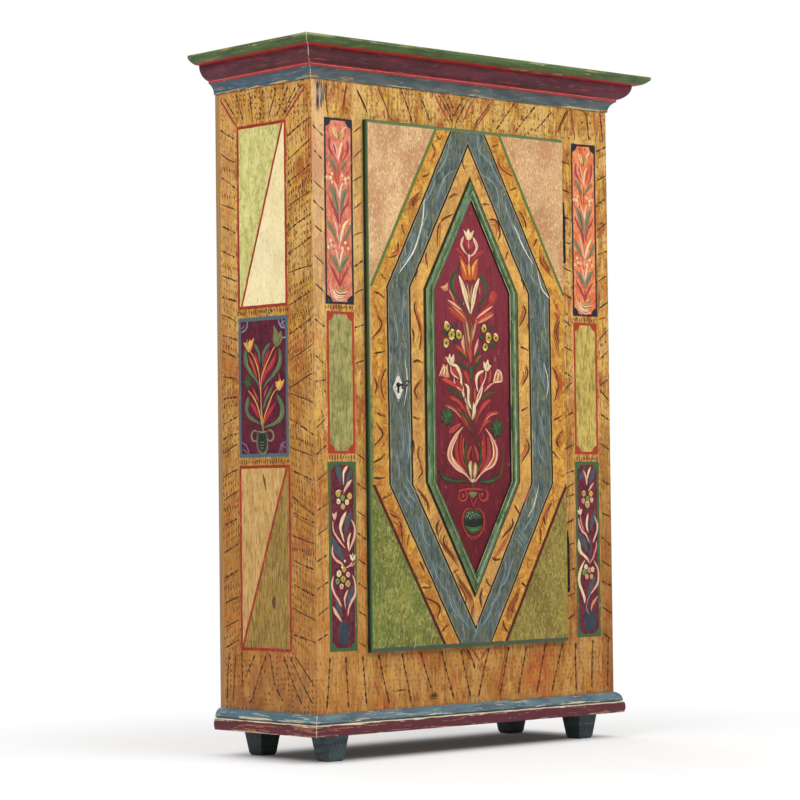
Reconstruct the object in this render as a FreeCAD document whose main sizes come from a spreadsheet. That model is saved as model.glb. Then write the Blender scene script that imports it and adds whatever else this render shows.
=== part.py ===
import FreeCAD, Part
import math
import os
import Sketcher

# A free-standing painted cupboard with one door, joined from boards the way such a cupboard is.
# X is its width, -Y its front and +Z up; the origin is on the floor under the middle of its outline.
# Lengths are millimetres, angles degrees. Every driving dimension is a cell of the sheet "dims".

SIZES = {
    # carcass
    "body_width": 1056,
    "body_depth": 385,
    "body_height": 1710,
    "side_thick": 24,
    "back_thick": 18,
    "frame_thick": 26,
    "stile_width": 183,
    "top_rail_height": 178,
    "bottom_rail_height": 216,
    "tenon_thick": 9,
    "tenon_length": 60,
    "tenon_shoulder": 25,
    "tenon_fit": 0.2,
    "top_board_thick": 20,
    "bottom_board_thick": 22,
    "bearer_thick": 24,
    "bearer_width": 110,
    "dado_depth": 8,
    "plank_seam": 1,
    # feet
    "foot_height": 67.5,
    "foot_top": 68,
    "foot_bottom": 50,
    "foot_toe": 7,
    "foot_toe_in": 4,
    "foot_in_side": 49,
    "foot_in_front": 17,
    "foot_in_back": 34,
    "foot_tenon_radius": 14,
    "foot_tenon_length": 20,
    # plinth
    "plinth_base_height": 30,
    "plinth_cap_height": 25,
    "plinth_nose_reach": 19.5,
    "plinth_nose_bulge": 3.3,
    "plinth_quirk_reach": 12,
    "plinth_quirk_height": 1.6,
    "plinth_cap_reach": 17.7,
    "plinth_cap_edge": 3.5,
    "plinth_cap_bulge": 3.6,
    "plinth_cap_foot": 3,
    # cornice
    "cap_height": 22.5,
    "cap_reach": 89,
    "cap_edge": 8,
    "cap_bulge": 4.9,
    "cap_inner": 40,
    "cap_quirk": 1,
    "ovolo_height": 38,
    "ovolo_reach": 52,
    "ovolo_foot": 22,
    "ovolo_bulge": 8.4,
    "cove_height": 34,
    "cove_reach": 21.5,
    "cove_fillet": 5.5,
    "cove_foot": 4,
    "cove_sink": 5.2,
    # shelves
    "shelf_thick": 18,
    "shelf_gap": 1,
    "shelf_setback": 27,
    "cleat_height": 30,
    "cleat_thick": 20,
    "lower_shelf_z": 480,
    "middle_shelf_z": 860,
    "upper_shelf_z": 1240,
    # door
    "door_proud": 18,
    "door_inset": 14,
    "door_lip": 14.5,
    "door_setback": 7,
    "lip_gap": 0.5,
    "inset_gap": 1.6,
    "door_bevel": 3,
    "batten_height": 90,
    "batten_thick": 20,
    "batten_end": 60,
    "batten_from_end": 130,
    # raised moulding on the door
    "hex_left_of_middle": 4,
    "hex_above_middle": 2,
    "hex_half_width": 164.5,
    "hex_half_height": 248,
    "hex_rise": 293,
    "bead_width": 31.5,
    "bead_bulge": 8,
    "bead_lip_width": 6,
    "bead_lip_bulge": 1.8,
    "bead_fillet_rise": 3,
    "bead_fillet_width": 6,
    # hinges
    "knuckle_radius": 4.5,
    "knuckle_length": 60,
    "knuckle_gap": 0.5,
    "knuckle_off": 10,
    "pin_radius": 2.5,
    "pin_fit": 0.06,
    "pin_top_gap": 2,
    "leaf_thick": 2,
    "leaf_depth": 13,
    "leaf_gap": 1.5,
    "finial_length": 42,
    "finial_tip": 1.2,
    "button_radius": 3.2,
    "hinge_upper_below_top": 315.5,
    "hinge_lower_above_sill": 118.5,
    # lock
    "keyhole_x": 81,
    "key_above_middle": 1.5,
    "plate_thick": 1.2,
    "plate_half_width": 20,
    "plate_half_height": 39,
    "plate_drop": 6,
    "keyhole_radius": 4.5,
    "keyhole_slot": 4.4,
    "keyhole_drop": 16,
    "pin_head_radius": 1.6,
    "pin_head_rise": 1.1,
    "pin_inset": 8,
    "lock_width": 110,
    "lock_height": 84,
    "lock_depth": 26,
    "lock_from_edge": 4,
    "lock_wall": 2,
    "screw_radius": 2,
    "screw_fit": 0.2,
    "screw_depth": 10,
    "screw_head_radius": 4,
    "screw_inset": 6,
    "bolt_length": 84,
    "bolt_height": 20,
    "bolt_thick": 6,
    "bolt_behind_stile": 4,
    "bolt_drop": 20,
    "bolt_fit": 0.3,
    "bolt_back": 1,
    "keeper_width": 26,
    "keeper_wall": 6,
    "keeper_off": 1.5,
    # key
    "key_radius": 3.2,
    "key_reach": 20,
    "key_fit": 0.06,
    "key_off": 0.3,
    "key_tilt": 42,
    "bow_length": 30,
    "bow_depth": 18,
    "bow_wire": 2.1,
    "bit_drop": 13,
    "bit_depth": 9,
    "bit_thick": 3,
    "bit_back": 2.5,
    "collar_radius": 4.4,
    "collar_length": 4,
}

BACK_PLANKS = 4
DOOR_PLANKS = 4

# How far a cutting tool reaches past the faces that it cuts.
PAST = 1

# The length at which a slanting moulding is drawn before its mitre is cut, as a share of its run.
OVERRUN = 1.3

os.makedirs("parts", exist_ok=True)
doc = FreeCAD.newDocument("painted_cupboard")
sheet = doc.addObject("Spreadsheet::Sheet", "dims")
for row, (alias, number) in enumerate(SIZES.items(), 1):
    sheet.set(f"A{row}", alias)
    sheet.set(f"B{row}", str(number))
    sheet.setAlias(f"B{row}", alias)
doc.recompute()


class Size:
    """A number together with the expression of sheet cells that gives it."""

    def __init__(self, number, text):
        self.number = number
        self.text = text

    def __add__(self, other):
        return combine(self, "+", other)

    def __radd__(self, other):
        return combine(other, "+", self)

    def __sub__(self, other):
        return combine(self, "-", other)

    def __rsub__(self, other):
        return combine(other, "-", self)

    def __mul__(self, other):
        return combine(self, "*", other)

    def __rmul__(self, other):
        return combine(other, "*", self)

    def __truediv__(self, other):
        return combine(self, "/", other)

    def __neg__(self):
        return combine(0, "-", self)


def size(value):
    """Return value as a Size."""
    return value if isinstance(value, Size) else Size(float(value), repr(float(value)))


def combine(left, sign, right):
    """Return the Size of left and right joined by one of the signs + - * /."""
    left = size(left)
    right = size(right)
    numbers = {
        "+": left.number + right.number,
        "-": left.number - right.number,
        "*": left.number * right.number,
        "/": left.number / right.number if right.number else 0.0,
    }
    return Size(numbers[sign], f"({left.text} {sign} {right.text})")


class Cells:
    """The sheet's cells, read as attributes."""

    def __getattr__(self, alias):
        return Size(float(SIZES[alias]), f"dims.{alias}")


d = Cells()


def bind(thing, field, value):
    """Set one field of an object, or of its placement, to a Size."""
    thing.setExpression(field, size(value).text)


def place(thing, x, y, z):
    """Bind the place of an object."""
    bind(thing, "Placement.Base.x", x)
    bind(thing, "Placement.Base.y", y)
    bind(thing, "Placement.Base.z", z)
    return thing


def block(name, x, y, z):
    """Return a box from the low to the high value of each axis."""
    box = doc.addObject("Part::Box", name)
    bind(box, "Length", x[1] - x[0])
    bind(box, "Width", y[1] - y[0])
    bind(box, "Height", z[1] - z[0])
    return place(box, x[0], y[0], z[0])


def rod(name, x, y, z, radius, length, turn=None):
    """Return a cylinder that starts at a point and runs along +Z, or along the turned axis."""
    cylinder = doc.addObject("Part::Cylinder", name)
    bind(cylinder, "Radius", radius)
    bind(cylinder, "Height", length)
    if turn is not None:
        cylinder.Placement.Rotation = turn
    return place(cylinder, x, y, z)


def fuse(name, things):
    """Return the union of several objects as one solid."""
    union = doc.addObject("Part::MultiFuse", name)
    union.Shapes = things
    union.Refine = True
    return union


def cut(name, base, tools):
    """Return base less the tools."""
    difference = doc.addObject("Part::Cut", name)
    difference.Base = base
    difference.Tool = tools[0] if len(tools) == 1 else fuse(f"{name}_tools", tools)
    difference.Refine = True
    return difference


FRONTWARDS = FreeCAD.Rotation(FreeCAD.Vector(1, 0, 0), 90)
BEVEL_X = FreeCAD.Rotation(FreeCAD.Vector(1, 0, 0), 45)
BEVEL_Z = FreeCAD.Rotation(FreeCAD.Vector(0, 0, 1), 45)

nodes = {}


def keep(node, thing):
    """Name an object as a finished sub-part."""
    thing.Label = node
    nodes[node] = thing
    return thing


def arc_radius(start, end, bulge):
    """Return the Size of the radius of an arc that rises by bulge over the chord of its ends."""
    across = size(end[0]) - start[0]
    along = size(end[1]) - start[1]
    return ((across * across + along * along) / 4 + bulge * bulge) / (2 * bulge)


def arc_between(start, end, radius, side):
    """Return an arc from start to end and whether it runs clockwise.

    The arc bulges to the left of the line from start to end when side is 1, and to the right
    when side is -1. It is the shorter of the two arcs of that radius.
    """
    chord = end - start
    half = chord.Length / 2
    left = FreeCAD.Vector(-chord.y, chord.x, 0).normalize()
    centre = start + chord / 2 - left * side * math.sqrt(max(radius * radius - half * half, 0))
    circle = Part.Circle(centre, FreeCAD.Vector(0, 0, 1), radius)
    clockwise = side > 0
    first, last = (end, start) if clockwise else (start, end)
    low = math.atan2(first.y - centre.y, first.x - centre.x)
    high = math.atan2(last.y - centre.y, last.x - centre.x)
    if high < low:
        high += 2 * math.pi
    return Part.ArcOfCircle(circle, low, high), clockwise


def draw(sketch, corners, arcs=None):
    """Draw a closed outline, each corner bound to its two Sizes.

    arcs gives, for the edge that leaves a corner, how far it rises over its chord and the side
    to which it bulges. The other edges are straight.
    """
    count = len(corners)
    radii = {index: arc_radius(corners[index], corners[(index + 1) % count], bulge)
             for index, (bulge, _) in (arcs or {}).items()}
    spots = [FreeCAD.Vector(size(u).number, size(v).number, 0) for u, v in corners]
    ends = []
    for index in range(count):
        start = spots[index]
        end = spots[(index + 1) % count]
        if index in radii:
            edge, clockwise = arc_between(start, end, radii[index].number, arcs[index][1])
            ends.append((2, 1) if clockwise else (1, 2))
        else:
            edge = Part.LineSegment(start, end)
            ends.append((1, 2))
        sketch.addGeometry(edge, False)
    for index in range(count):
        after = (index + 1) % count
        link = Sketcher.Constraint("Coincident", index, ends[index][1], after, ends[after][0])
        sketch.addConstraint(link)
    for index, (u, v) in enumerate(corners):
        for kind, value in (("DistanceX", size(u)), ("DistanceY", size(v))):
            rule = Sketcher.Constraint(kind, -1, 1, index, ends[index][0], value.number)
            number = sketch.addConstraint(rule)
            sketch.setExpression(f"Constraints[{number}]", value.text)
    for index, radius in radii.items():
        number = sketch.addConstraint(Sketcher.Constraint("Radius", index, radius.number))
        sketch.setExpression(f"Constraints[{number}]", radius.text)


def body_sketch(body, role, name):
    """Return a sketch on one of a body's own origin planes."""
    sketch = body.newObject("Sketcher::SketchObject", name)
    planes = [plane for plane in body.Origin.OriginFeatures if plane.Role == role]
    sketch.AttachmentSupport = [(planes[0], "")]
    sketch.MapMode = "FlatFace"
    return sketch


def padded(body, sketch, length, both_ways=True):
    """Pad a sketch of a body by a length, evenly both ways or along its normal."""
    pad = body.newObject("PartDesign::Pad", f"{body.Name}_pad")
    pad.Profile = sketch
    pad.Midplane = both_ways
    bind(pad, "Length", length)
    return pad


def pocketed(body, sketch):
    """Cut a sketch of a body right through it, both ways."""
    pocket = body.newObject("PartDesign::Pocket", f"{sketch.Name}_cut")
    pocket.Profile = sketch
    pocket.Midplane = True
    pocket.Type = "ThroughAll"
    return pocket


# Places that several sub-parts share.
half_width = d.body_width / 2
front_y = d.cap_reach / 2 - d.body_depth / 2
back_y = front_y + d.body_depth
side_back_y = back_y - d.back_thick
body_low = d.foot_height
body_high = body_low + d.body_height
frame_back_y = front_y + d.frame_thick
inner_x = half_width - d.side_thick
opening_x = half_width - d.stile_width
opening_low = body_low + d.bottom_rail_height
opening_high = body_high - d.top_rail_height
floor_low = body_low + d.bearer_thick
floor_high = floor_low + d.bottom_board_thick
roof_low = body_high - d.top_board_thick

SIDES = (("left", -1), ("right", 1))


def span(side, near, far):
    """Return the low and high x of a piece between two distances from the middle."""
    return (-far, -near) if side < 0 else (near, far)


def side_board(name, side):
    """A side board, housed for the bottom board and the top board."""
    board = block(f"{name}_board", span(side, inner_x, half_width), (frame_back_y, side_back_y),
                  (body_low, body_high))
    groove_x = span(side, inner_x - PAST, inner_x + d.dado_depth)
    depth = (frame_back_y - PAST, side_back_y + PAST)
    low = block(f"{name}_low_groove", groove_x, depth, (floor_low, floor_high))
    high = block(f"{name}_high_groove", groove_x, depth, (roof_low, body_high + PAST))
    return keep(name, cut(name, board, [low, high]))


def carcass():
    """The sides, the top and bottom boards, the back and the two bearers."""
    for word, side in SIDES:
        side_board(f"side_{word}", side)
        keep(f"bearer_{word}", cut(f"bearer_{word}", block(
            f"bearer_{word}_board", span(side, inner_x - d.bearer_width, inner_x),
            (frame_back_y, side_back_y), (body_low, floor_low)), [
                rod(f"bearer_{word}_{end}_hole", foot_x(side), foot_y(end), body_low - PAST,
                    d.foot_tenon_radius + d.tenon_fit, d.foot_tenon_length + 2 * PAST)
                for end in ("front", "rear")]))
    housed = inner_x + d.dado_depth
    keep("bottom_board", block("bottom_board", (-housed, housed), (frame_back_y, side_back_y),
                               (floor_low, floor_high)))
    keep("top_board", block("top_board", (-housed, housed), (frame_back_y, side_back_y),
                            (roof_low, body_high)))
    plank = d.body_width / BACK_PLANKS
    for number in range(BACK_PLANKS):
        low = plank * number - half_width
        high = low + plank
        if number < BACK_PLANKS - 1:
            high = high - d.plank_seam
        keep(f"back_plank_{number + 1}", block(f"back_plank_{number + 1}", (low, high),
                                               (side_back_y, back_y), (body_low, body_high)))


def foot_x(side):
    """The middle of a foot, left or right."""
    return (half_width - d.foot_in_side - d.foot_top / 2) * side


def foot_y(end):
    """The middle of a foot, front or rear."""
    if end == "front":
        return front_y + d.foot_in_front + d.foot_top / 2
    return back_y - d.foot_in_back - d.foot_top / 2


def taper(name, x, y, z, rise, low_side, high_side):
    """A square block about x and y that widens from low_side to high_side over its rise."""
    wedge = doc.addObject("Part::Wedge", name)
    wedge.Placement.Rotation = FRONTWARDS
    for low, high, side in (("Xmin", "Xmax", low_side), ("Zmin", "Zmax", low_side),
                            ("X2min", "X2max", high_side), ("Z2min", "Z2max", high_side)):
        bind(wedge, low, -side / 2)
        bind(wedge, high, side / 2)
    bind(wedge, "Ymin", 0)
    bind(wedge, "Ymax", rise)
    return place(wedge, x, y, z)


def feet():
    """Four tapered feet with a worn toe and a round tenon for the bearer."""
    toe_side = d.foot_bottom - 2 * d.foot_toe_in
    for word, side in SIDES:
        for end in ("front", "rear"):
            name = f"foot_{end}_{word}"
            x = foot_x(side)
            y = foot_y(end)
            leg = taper(f"{name}_leg", x, y, d.foot_toe, d.foot_height - d.foot_toe,
                        d.foot_bottom, d.foot_top)
            toe = taper(f"{name}_toe", x, y, 0, d.foot_toe, toe_side, d.foot_bottom)
            tenon = rod(f"{name}_tenon", x, y, d.foot_height - PAST, d.foot_tenon_radius,
                        d.foot_tenon_length + PAST)
            keep(name, fuse(name, [leg, toe, tenon]))


def front_frame():
    """Stiles and rails of the front, with mortises and tenons."""
    tenon_y = (front_y + d.frame_thick / 2 - d.tenon_thick / 2,
               front_y + d.frame_thick / 2 + d.tenon_thick / 2)
    mortise_y = (tenon_y[0] - d.tenon_fit, tenon_y[1] + d.tenon_fit)
    rails = {"top_rail": (opening_high, body_high), "bottom_rail": (body_low, opening_low)}
    tenon_z = {name: (z[0] + d.tenon_shoulder, z[1] - d.tenon_shoulder)
               for name, z in rails.items()}
    for name, z in rails.items():
        rail = block(f"{name}_board", (-opening_x, opening_x), (front_y, frame_back_y), z)
        tenon = block(f"{name}_tenons", (-opening_x - d.tenon_length, opening_x + d.tenon_length),
                      tenon_y, tenon_z[name])
        keep(name, fuse(name, [rail, tenon]))
    for word, side in SIDES:
        name = f"stile_{word}"
        board = block(f"{name}_board", span(side, opening_x, half_width),
                      (front_y, frame_back_y), (body_low, body_high))
        tools = []
        for rail, z in tenon_z.items():
            mortise_x = span(side, opening_x - PAST, opening_x + d.tenon_length + d.tenon_fit)
            mortise_z = (z[0] - d.tenon_fit, z[1] + d.tenon_fit)
            tools.append(block(f"{name}_{rail}_mortise", mortise_x, mortise_y, mortise_z))
        if side > 0:
            tools.extend(leaf_recess(f"{name}_{hinge}", z) for hinge, z in HINGES.items())
        keep(name, cut(name, board, tools))


def moulding(node, side, reach, back, profile, arcs):
    """One length of moulding, mitred where the front meets the side.

    side is 0 for the front, -1 for the left and 1 for the right. profile lists pairs of reach
    from the carcass face and height; back is how far the piece reaches inside that face.
    """
    body = doc.addObject("PartDesign::Body", node)
    corner = reach + PAST
    if side == 0:
        section = body_sketch(body, "YZ_Plane", f"{node}_section")
        draw(section, [(front_y - out, high) for out, high in profile], arcs)
        padded(body, section, 2 * (half_width + reach))
        for word, way in SIDES:
            mitre = body_sketch(body, "XY_Plane", f"{node}_mitre_{word}")
            draw(mitre, [((half_width - back) * way, front_y + back),
                         ((half_width + corner) * way, front_y - corner),
                         ((half_width + corner) * way, front_y + back)])
            pocketed(body, mitre)
    else:
        section = body_sketch(body, "XZ_Plane", f"{node}_section")
        outline = [((half_width + out) * side, high) for out, high in profile]
        draw(section, outline, {index: (bulge, -way * side)
                                for index, (bulge, way) in arcs.items()})
        pad = padded(body, section, back_y - front_y + corner, both_ways=False)
        pad.Reversed = True
        bind(section, "AttachmentOffset.Base.z", corner - front_y)
        mitre = body_sketch(body, "XY_Plane", f"{node}_mitre")
        draw(mitre, [((half_width - back) * side, front_y + back),
                     ((half_width + corner) * side, front_y - corner),
                     ((half_width - back) * side, front_y - corner)])
        pocketed(body, mitre)
    keep(node, body)


WAYS = (("front", 0), ("left", -1), ("right", 1))


def cornice():
    """Three mitred members on three sides: cap, quarter round, and hollow with its fillet."""
    cove_low = body_high - d.ovolo_height - d.cove_height
    ovolo_low = body_high - d.ovolo_height
    top = body_high + d.cap_height
    cap = [(-d.cap_inner, body_high), (d.ovolo_reach, body_high),
           (d.cap_reach - d.cap_quirk, top - d.cap_edge), (d.cap_reach, top - d.cap_edge),
           (d.cap_reach, top), (-d.cap_inner, top)]
    ovolo = [(0, ovolo_low), (d.ovolo_foot, ovolo_low), (d.ovolo_reach, body_high),
             (0, body_high)]
    cove = [(0, cove_low), (d.cove_foot, cove_low), (d.cove_reach, ovolo_low - d.cove_fillet),
            (d.cove_reach, ovolo_low), (0, ovolo_low)]
    for word, side in WAYS:
        moulding(f"cornice_cap_{word}", side, d.cap_reach, d.cap_inner, cap,
                 {1: (d.cap_bulge, 1)})
        moulding(f"cornice_ovolo_{word}", side, d.ovolo_reach, 0, ovolo,
                 {1: (d.ovolo_bulge, 1)})
        moulding(f"cornice_cove_{word}", side, d.cove_reach, 0, cove,
                 {1: (d.cove_sink, -1)})


def plinth():
    """A mitred base moulding: a nose below, a quirk, and a rounded shoulder above."""
    nose_high = body_low + d.plinth_base_height
    quirk_high = nose_high + d.plinth_quirk_height
    top = nose_high + d.plinth_cap_height
    edge_high = quirk_high + d.plinth_cap_edge
    profile = [(0, body_low), (d.plinth_nose_reach, body_low), (d.plinth_nose_reach, nose_high),
               (d.plinth_quirk_reach, nose_high), (d.plinth_quirk_reach, quirk_high),
               (d.plinth_cap_reach, quirk_high), (d.plinth_cap_reach, edge_high),
               (d.plinth_cap_foot, top), (0, top)]
    for word, side in WAYS:
        moulding(f"plinth_{word}", side, d.plinth_nose_reach + 2 * d.plinth_nose_bulge, 0, profile,
                 {1: (d.plinth_nose_bulge, 1), 6: (d.plinth_cap_bulge, 1)})


def interior():
    """Three shelves, each on a cleat at either side."""
    shelf_x = inner_x - d.shelf_gap
    depth = (frame_back_y + d.shelf_setback, side_back_y)
    heights = {"lower": d.lower_shelf_z, "middle": d.middle_shelf_z, "upper": d.upper_shelf_z}
    for word, z in heights.items():
        keep(f"shelf_{word}", block(f"shelf_{word}", (-shelf_x, shelf_x), depth,
                                    (z, z + d.shelf_thick)))
    group = doc.addObject("Part::Compound", "shelf_cleats")
    group.Links = [block(f"cleat_{word}_{level}", span(side, inner_x - d.cleat_thick, inner_x),
                         depth, (z - d.cleat_height, z))
                   for word, side in SIDES for level, z in heights.items()]
    keep("shelf_cleats", group)


# The door.
door_front = front_y - d.door_proud
step_y = front_y - d.lip_gap
door_back = front_y + d.door_inset
lip_left = -opening_x - d.door_lip
lip_right = opening_x - d.door_setback
lip_low = opening_low - d.door_lip
lip_high = opening_high + d.door_lip
inset_x = opening_x - d.inset_gap
inset_low = opening_low + d.inset_gap
inset_high = opening_high - d.inset_gap
key_x = -opening_x + d.keyhole_x
key_z = (opening_low + opening_high) / 2 + d.key_above_middle

# The hinges.
hinge_x = opening_x - d.leaf_gap / 2
hinge_y = step_y - d.knuckle_off - d.knuckle_radius
HINGES = {"hinge_upper": opening_high - d.hinge_upper_below_top,
          "hinge_lower": opening_low + d.hinge_lower_above_sill}

# The lock.
lock_left = -inset_x + d.lock_from_edge
lock_right = lock_left + d.lock_width
lock_low = key_z - d.lock_height / 2
lock_high = key_z + d.lock_height / 2
lock_front = door_back + d.lock_wall
lock_back = door_back + d.lock_depth
bolt_front = frame_back_y + d.bolt_behind_stile
bolt_mid = key_z - d.bolt_drop
screw_length = lock_back - door_back + d.screw_depth
SCREWS = [(f"{word}_{end}", x, z)
          for word, x in (("left", lock_left + d.screw_inset),
                          ("right", lock_right - d.screw_inset))
          for end, z in (("low", lock_low + d.screw_inset),
                         ("high", lock_high - d.screw_inset))]


def screw_holes(name):
    """The tools that cut the way of the four lock screws."""
    return [rod(f"{name}_{word}_hole", x, lock_back + PAST, z, d.screw_radius + d.screw_fit,
                screw_length + PAST + d.screw_fit, FRONTWARDS) for word, x, z in SCREWS]


def leaf_recess(name, z):
    """The place in the stile that takes a frame leaf."""
    return block(f"{name}_recess", (opening_x - PAST, opening_x + d.leaf_thick),
                 (front_y - PAST, front_y + d.leaf_depth),
                 (z, z + 2 * d.knuckle_length + d.knuckle_gap))


def door_boards():
    """Upright boards, rebated at the lock side, the top and the bottom."""
    width = (lip_right - lip_left) / DOOR_PLANKS
    leaf_x = opening_x - d.leaf_gap
    for number in range(DOOR_PLANKS):
        name = f"door_board_{number + 1}"
        low = lip_left + width * number
        high = low + width
        first = number == 0
        last = number == DOOR_PLANKS - 1
        face = block(f"{name}_face", (low, high), (door_front, step_y), (lip_low, lip_high))
        rear_x = (-inset_x if first else low, leaf_x if last else high)
        rear = block(f"{name}_rear", rear_x, (step_y, door_back), (inset_low, inset_high))
        tools = []
        side = d.door_bevel * math.sqrt(2)
        for end, z in (("low", lip_low), ("high", lip_high)):
            bevel = block(f"{name}_{end}_bevel", (low - PAST, high + PAST), (0, side), (0, side))
            bevel.Placement.Rotation = BEVEL_X
            tools.append(place(bevel, low - PAST, door_front, z - d.door_bevel))
        if first:
            bevel = block(f"{name}_side_bevel", (0, side), (0, side),
                          (lip_low - PAST, lip_high + PAST))
            bevel.Placement.Rotation = BEVEL_Z
            tools.append(place(bevel, lip_left, door_front - d.door_bevel, lip_low - PAST))
            tools.extend(keyhole(f"{name}_keyhole", door_front - PAST, door_back + PAST))
            tools.extend(screw_holes(name))
        if last:
            for hinge, z in HINGES.items():
                tools.append(block(f"{name}_{hinge}_recess",
                                   (leaf_x - d.leaf_thick, leaf_x + PAST),
                                   (step_y - PAST, front_y + d.leaf_depth),
                                   (z, z + 2 * d.knuckle_length + d.knuckle_gap)))
        keep(name, cut(name, fuse(f"{name}_blank", [face, rear]), tools))


def keyhole(name, near, far):
    """The tools that cut a keyhole between two depths: a round hole over a slot."""
    hole = rod(f"{name}_round", key_x, far, key_z, d.keyhole_radius, far - near, FRONTWARDS)
    slot = block(f"{name}_slot", (key_x - d.keyhole_slot / 2, key_x + d.keyhole_slot / 2),
                 (near, far), (key_z - d.keyhole_drop, key_z))
    return [hole, slot]


def battens():
    """Two battens across the back of the door boards."""
    width = (-inset_x + d.batten_end, inset_x - d.batten_end)
    depth = (door_back, door_back + d.batten_thick)
    low = inset_low + d.batten_from_end
    high = inset_high - d.batten_from_end
    keep("door_batten_lower", block("door_batten_lower", width, depth,
                                    (low, low + d.batten_height)))
    keep("door_batten_upper", block("door_batten_upper", width, depth,
                                    (high - d.batten_height, high)))


def hex_moulding():
    """The raised six-sided moulding: two upright and four slanting lengths, mitred together."""
    centre = -1 * d.hex_left_of_middle
    middle = (opening_low + opening_high) / 2 + d.hex_above_middle
    inner = d.hex_half_width - d.bead_width
    bead_from = d.bead_lip_width
    bead_to = d.bead_width - d.bead_fillet_width
    steps = [(0, 0), (0, d.bead_fillet_rise), (bead_from, d.bead_fillet_rise),
             (bead_to, d.bead_fillet_rise), (d.bead_width, d.bead_fillet_rise),
             (d.bead_width, 0)]
    for word, side in SIDES:
        for part, low, lean in (("side", -d.hex_half_height, 0), ("top", d.hex_half_height, 1),
                                ("bottom", -d.hex_half_height, -1)):
            name = f"moulding_{word}_{part}"
            section = doc.addObject("Sketcher::SketchObject", f"{name}_section")
            outline = [((inner + out) * side, door_front - rise) for out, rise in steps]
            draw(section, outline, {1: (d.bead_lip_bulge, -side), 2: (d.bead_bulge, -side)})
            place(section, centre, 0, middle + low)
            run = doc.addObject("Part::Extrusion", f"{name}_run")
            run.Base = section
            run.DirMode = "Custom"
            run.Solid = True
            run.LengthFwd = 0
            if lean == 0:
                bind(run, "Dir.x", 0)
                bind(run, "Dir.y", 0)
                bind(run, "Dir.z", 2 * d.hex_half_height)
                keep(name, run)
                continue
            # The run goes on past the apex, and is cut at the middle of the figure.
            bind(run, "Dir.x", -side * OVERRUN * d.hex_half_width)
            bind(run, "Dir.y", 0)
            bind(run, "Dir.z", lean * OVERRUN * d.hex_rise)
            beyond = [centre + x for x in span(-side, 0, d.hex_half_width)]
            tall = (middle + low, middle + low + lean * 2 * d.hex_rise)
            if lean < 0:
                tall = (tall[1], tall[0])
            half = block(f"{name}_other_half", beyond,
                         (door_front - d.bead_width, door_front + d.bead_width), tall)
            keep(name, cut(name, run, [half]))


def hinges():
    """Two lift-off hinges: frame leaf with its knuckle, door leaf with its knuckle, and pin."""
    for name, z in HINGES.items():
        middle = z + d.knuckle_length
        upper = middle + d.knuckle_gap
        top = upper + d.knuckle_length
        frame_x = (opening_x, opening_x + d.leaf_thick)
        door_x = (opening_x - d.leaf_gap - d.leaf_thick, opening_x - d.leaf_gap)
        leaf_y = (front_y, front_y + d.leaf_depth)
        button = doc.addObject("Part::Sphere", f"{name}_button")
        bind(button, "Radius", d.button_radius)
        place(button, hinge_x, hinge_y, z)
        lower = fuse(f"{name}_frame_blank", [
            rod(f"{name}_frame_knuckle", hinge_x, hinge_y, z, d.knuckle_radius,
                d.knuckle_length),
            block(f"{name}_frame_neck", frame_x, (hinge_y, leaf_y[0] + PAST), (z, middle)),
            block(f"{name}_frame_plate", frame_x, leaf_y, (z, top)),
            button])
        keep(f"{name}_frame_leaf", cut(f"{name}_frame_leaf", lower, [
            rod(f"{name}_frame_hole", hinge_x, hinge_y, z + d.pin_top_gap, d.pin_radius,
                d.knuckle_length)]))
        finial = doc.addObject("Part::Cone", f"{name}_finial")
        bind(finial, "Radius1", d.knuckle_radius)
        bind(finial, "Radius2", d.finial_tip)
        bind(finial, "Height", d.finial_length)
        place(finial, hinge_x, hinge_y, top)
        swinging = fuse(f"{name}_door_blank", [
            rod(f"{name}_door_knuckle", hinge_x, hinge_y, upper, d.knuckle_radius,
                d.knuckle_length),
            block(f"{name}_door_neck", door_x, (hinge_y, leaf_y[0] + PAST), (upper, top)),
            block(f"{name}_door_plate", door_x, leaf_y, (z, top)),
            finial])
        keep(f"{name}_door_leaf", cut(f"{name}_door_leaf", swinging, [
            rod(f"{name}_door_hole", hinge_x, hinge_y, upper - PAST, d.pin_radius + d.pin_fit,
                d.knuckle_length - d.pin_top_gap + PAST)]))
        keep(f"{name}_pin", rod(f"{name}_pin", hinge_x, hinge_y, z + d.pin_top_gap,
                                d.pin_radius, 2 * d.knuckle_length - 3 * d.pin_top_gap))


def bolt_slot(name, x, clearance):
    """The tool that cuts the bolt's way through a wall."""
    return block(name, x, (bolt_front - clearance, bolt_front + d.bolt_thick + clearance),
                 (bolt_mid - d.bolt_height / 2 - clearance,
                  bolt_mid + d.bolt_height / 2 + clearance))


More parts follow.
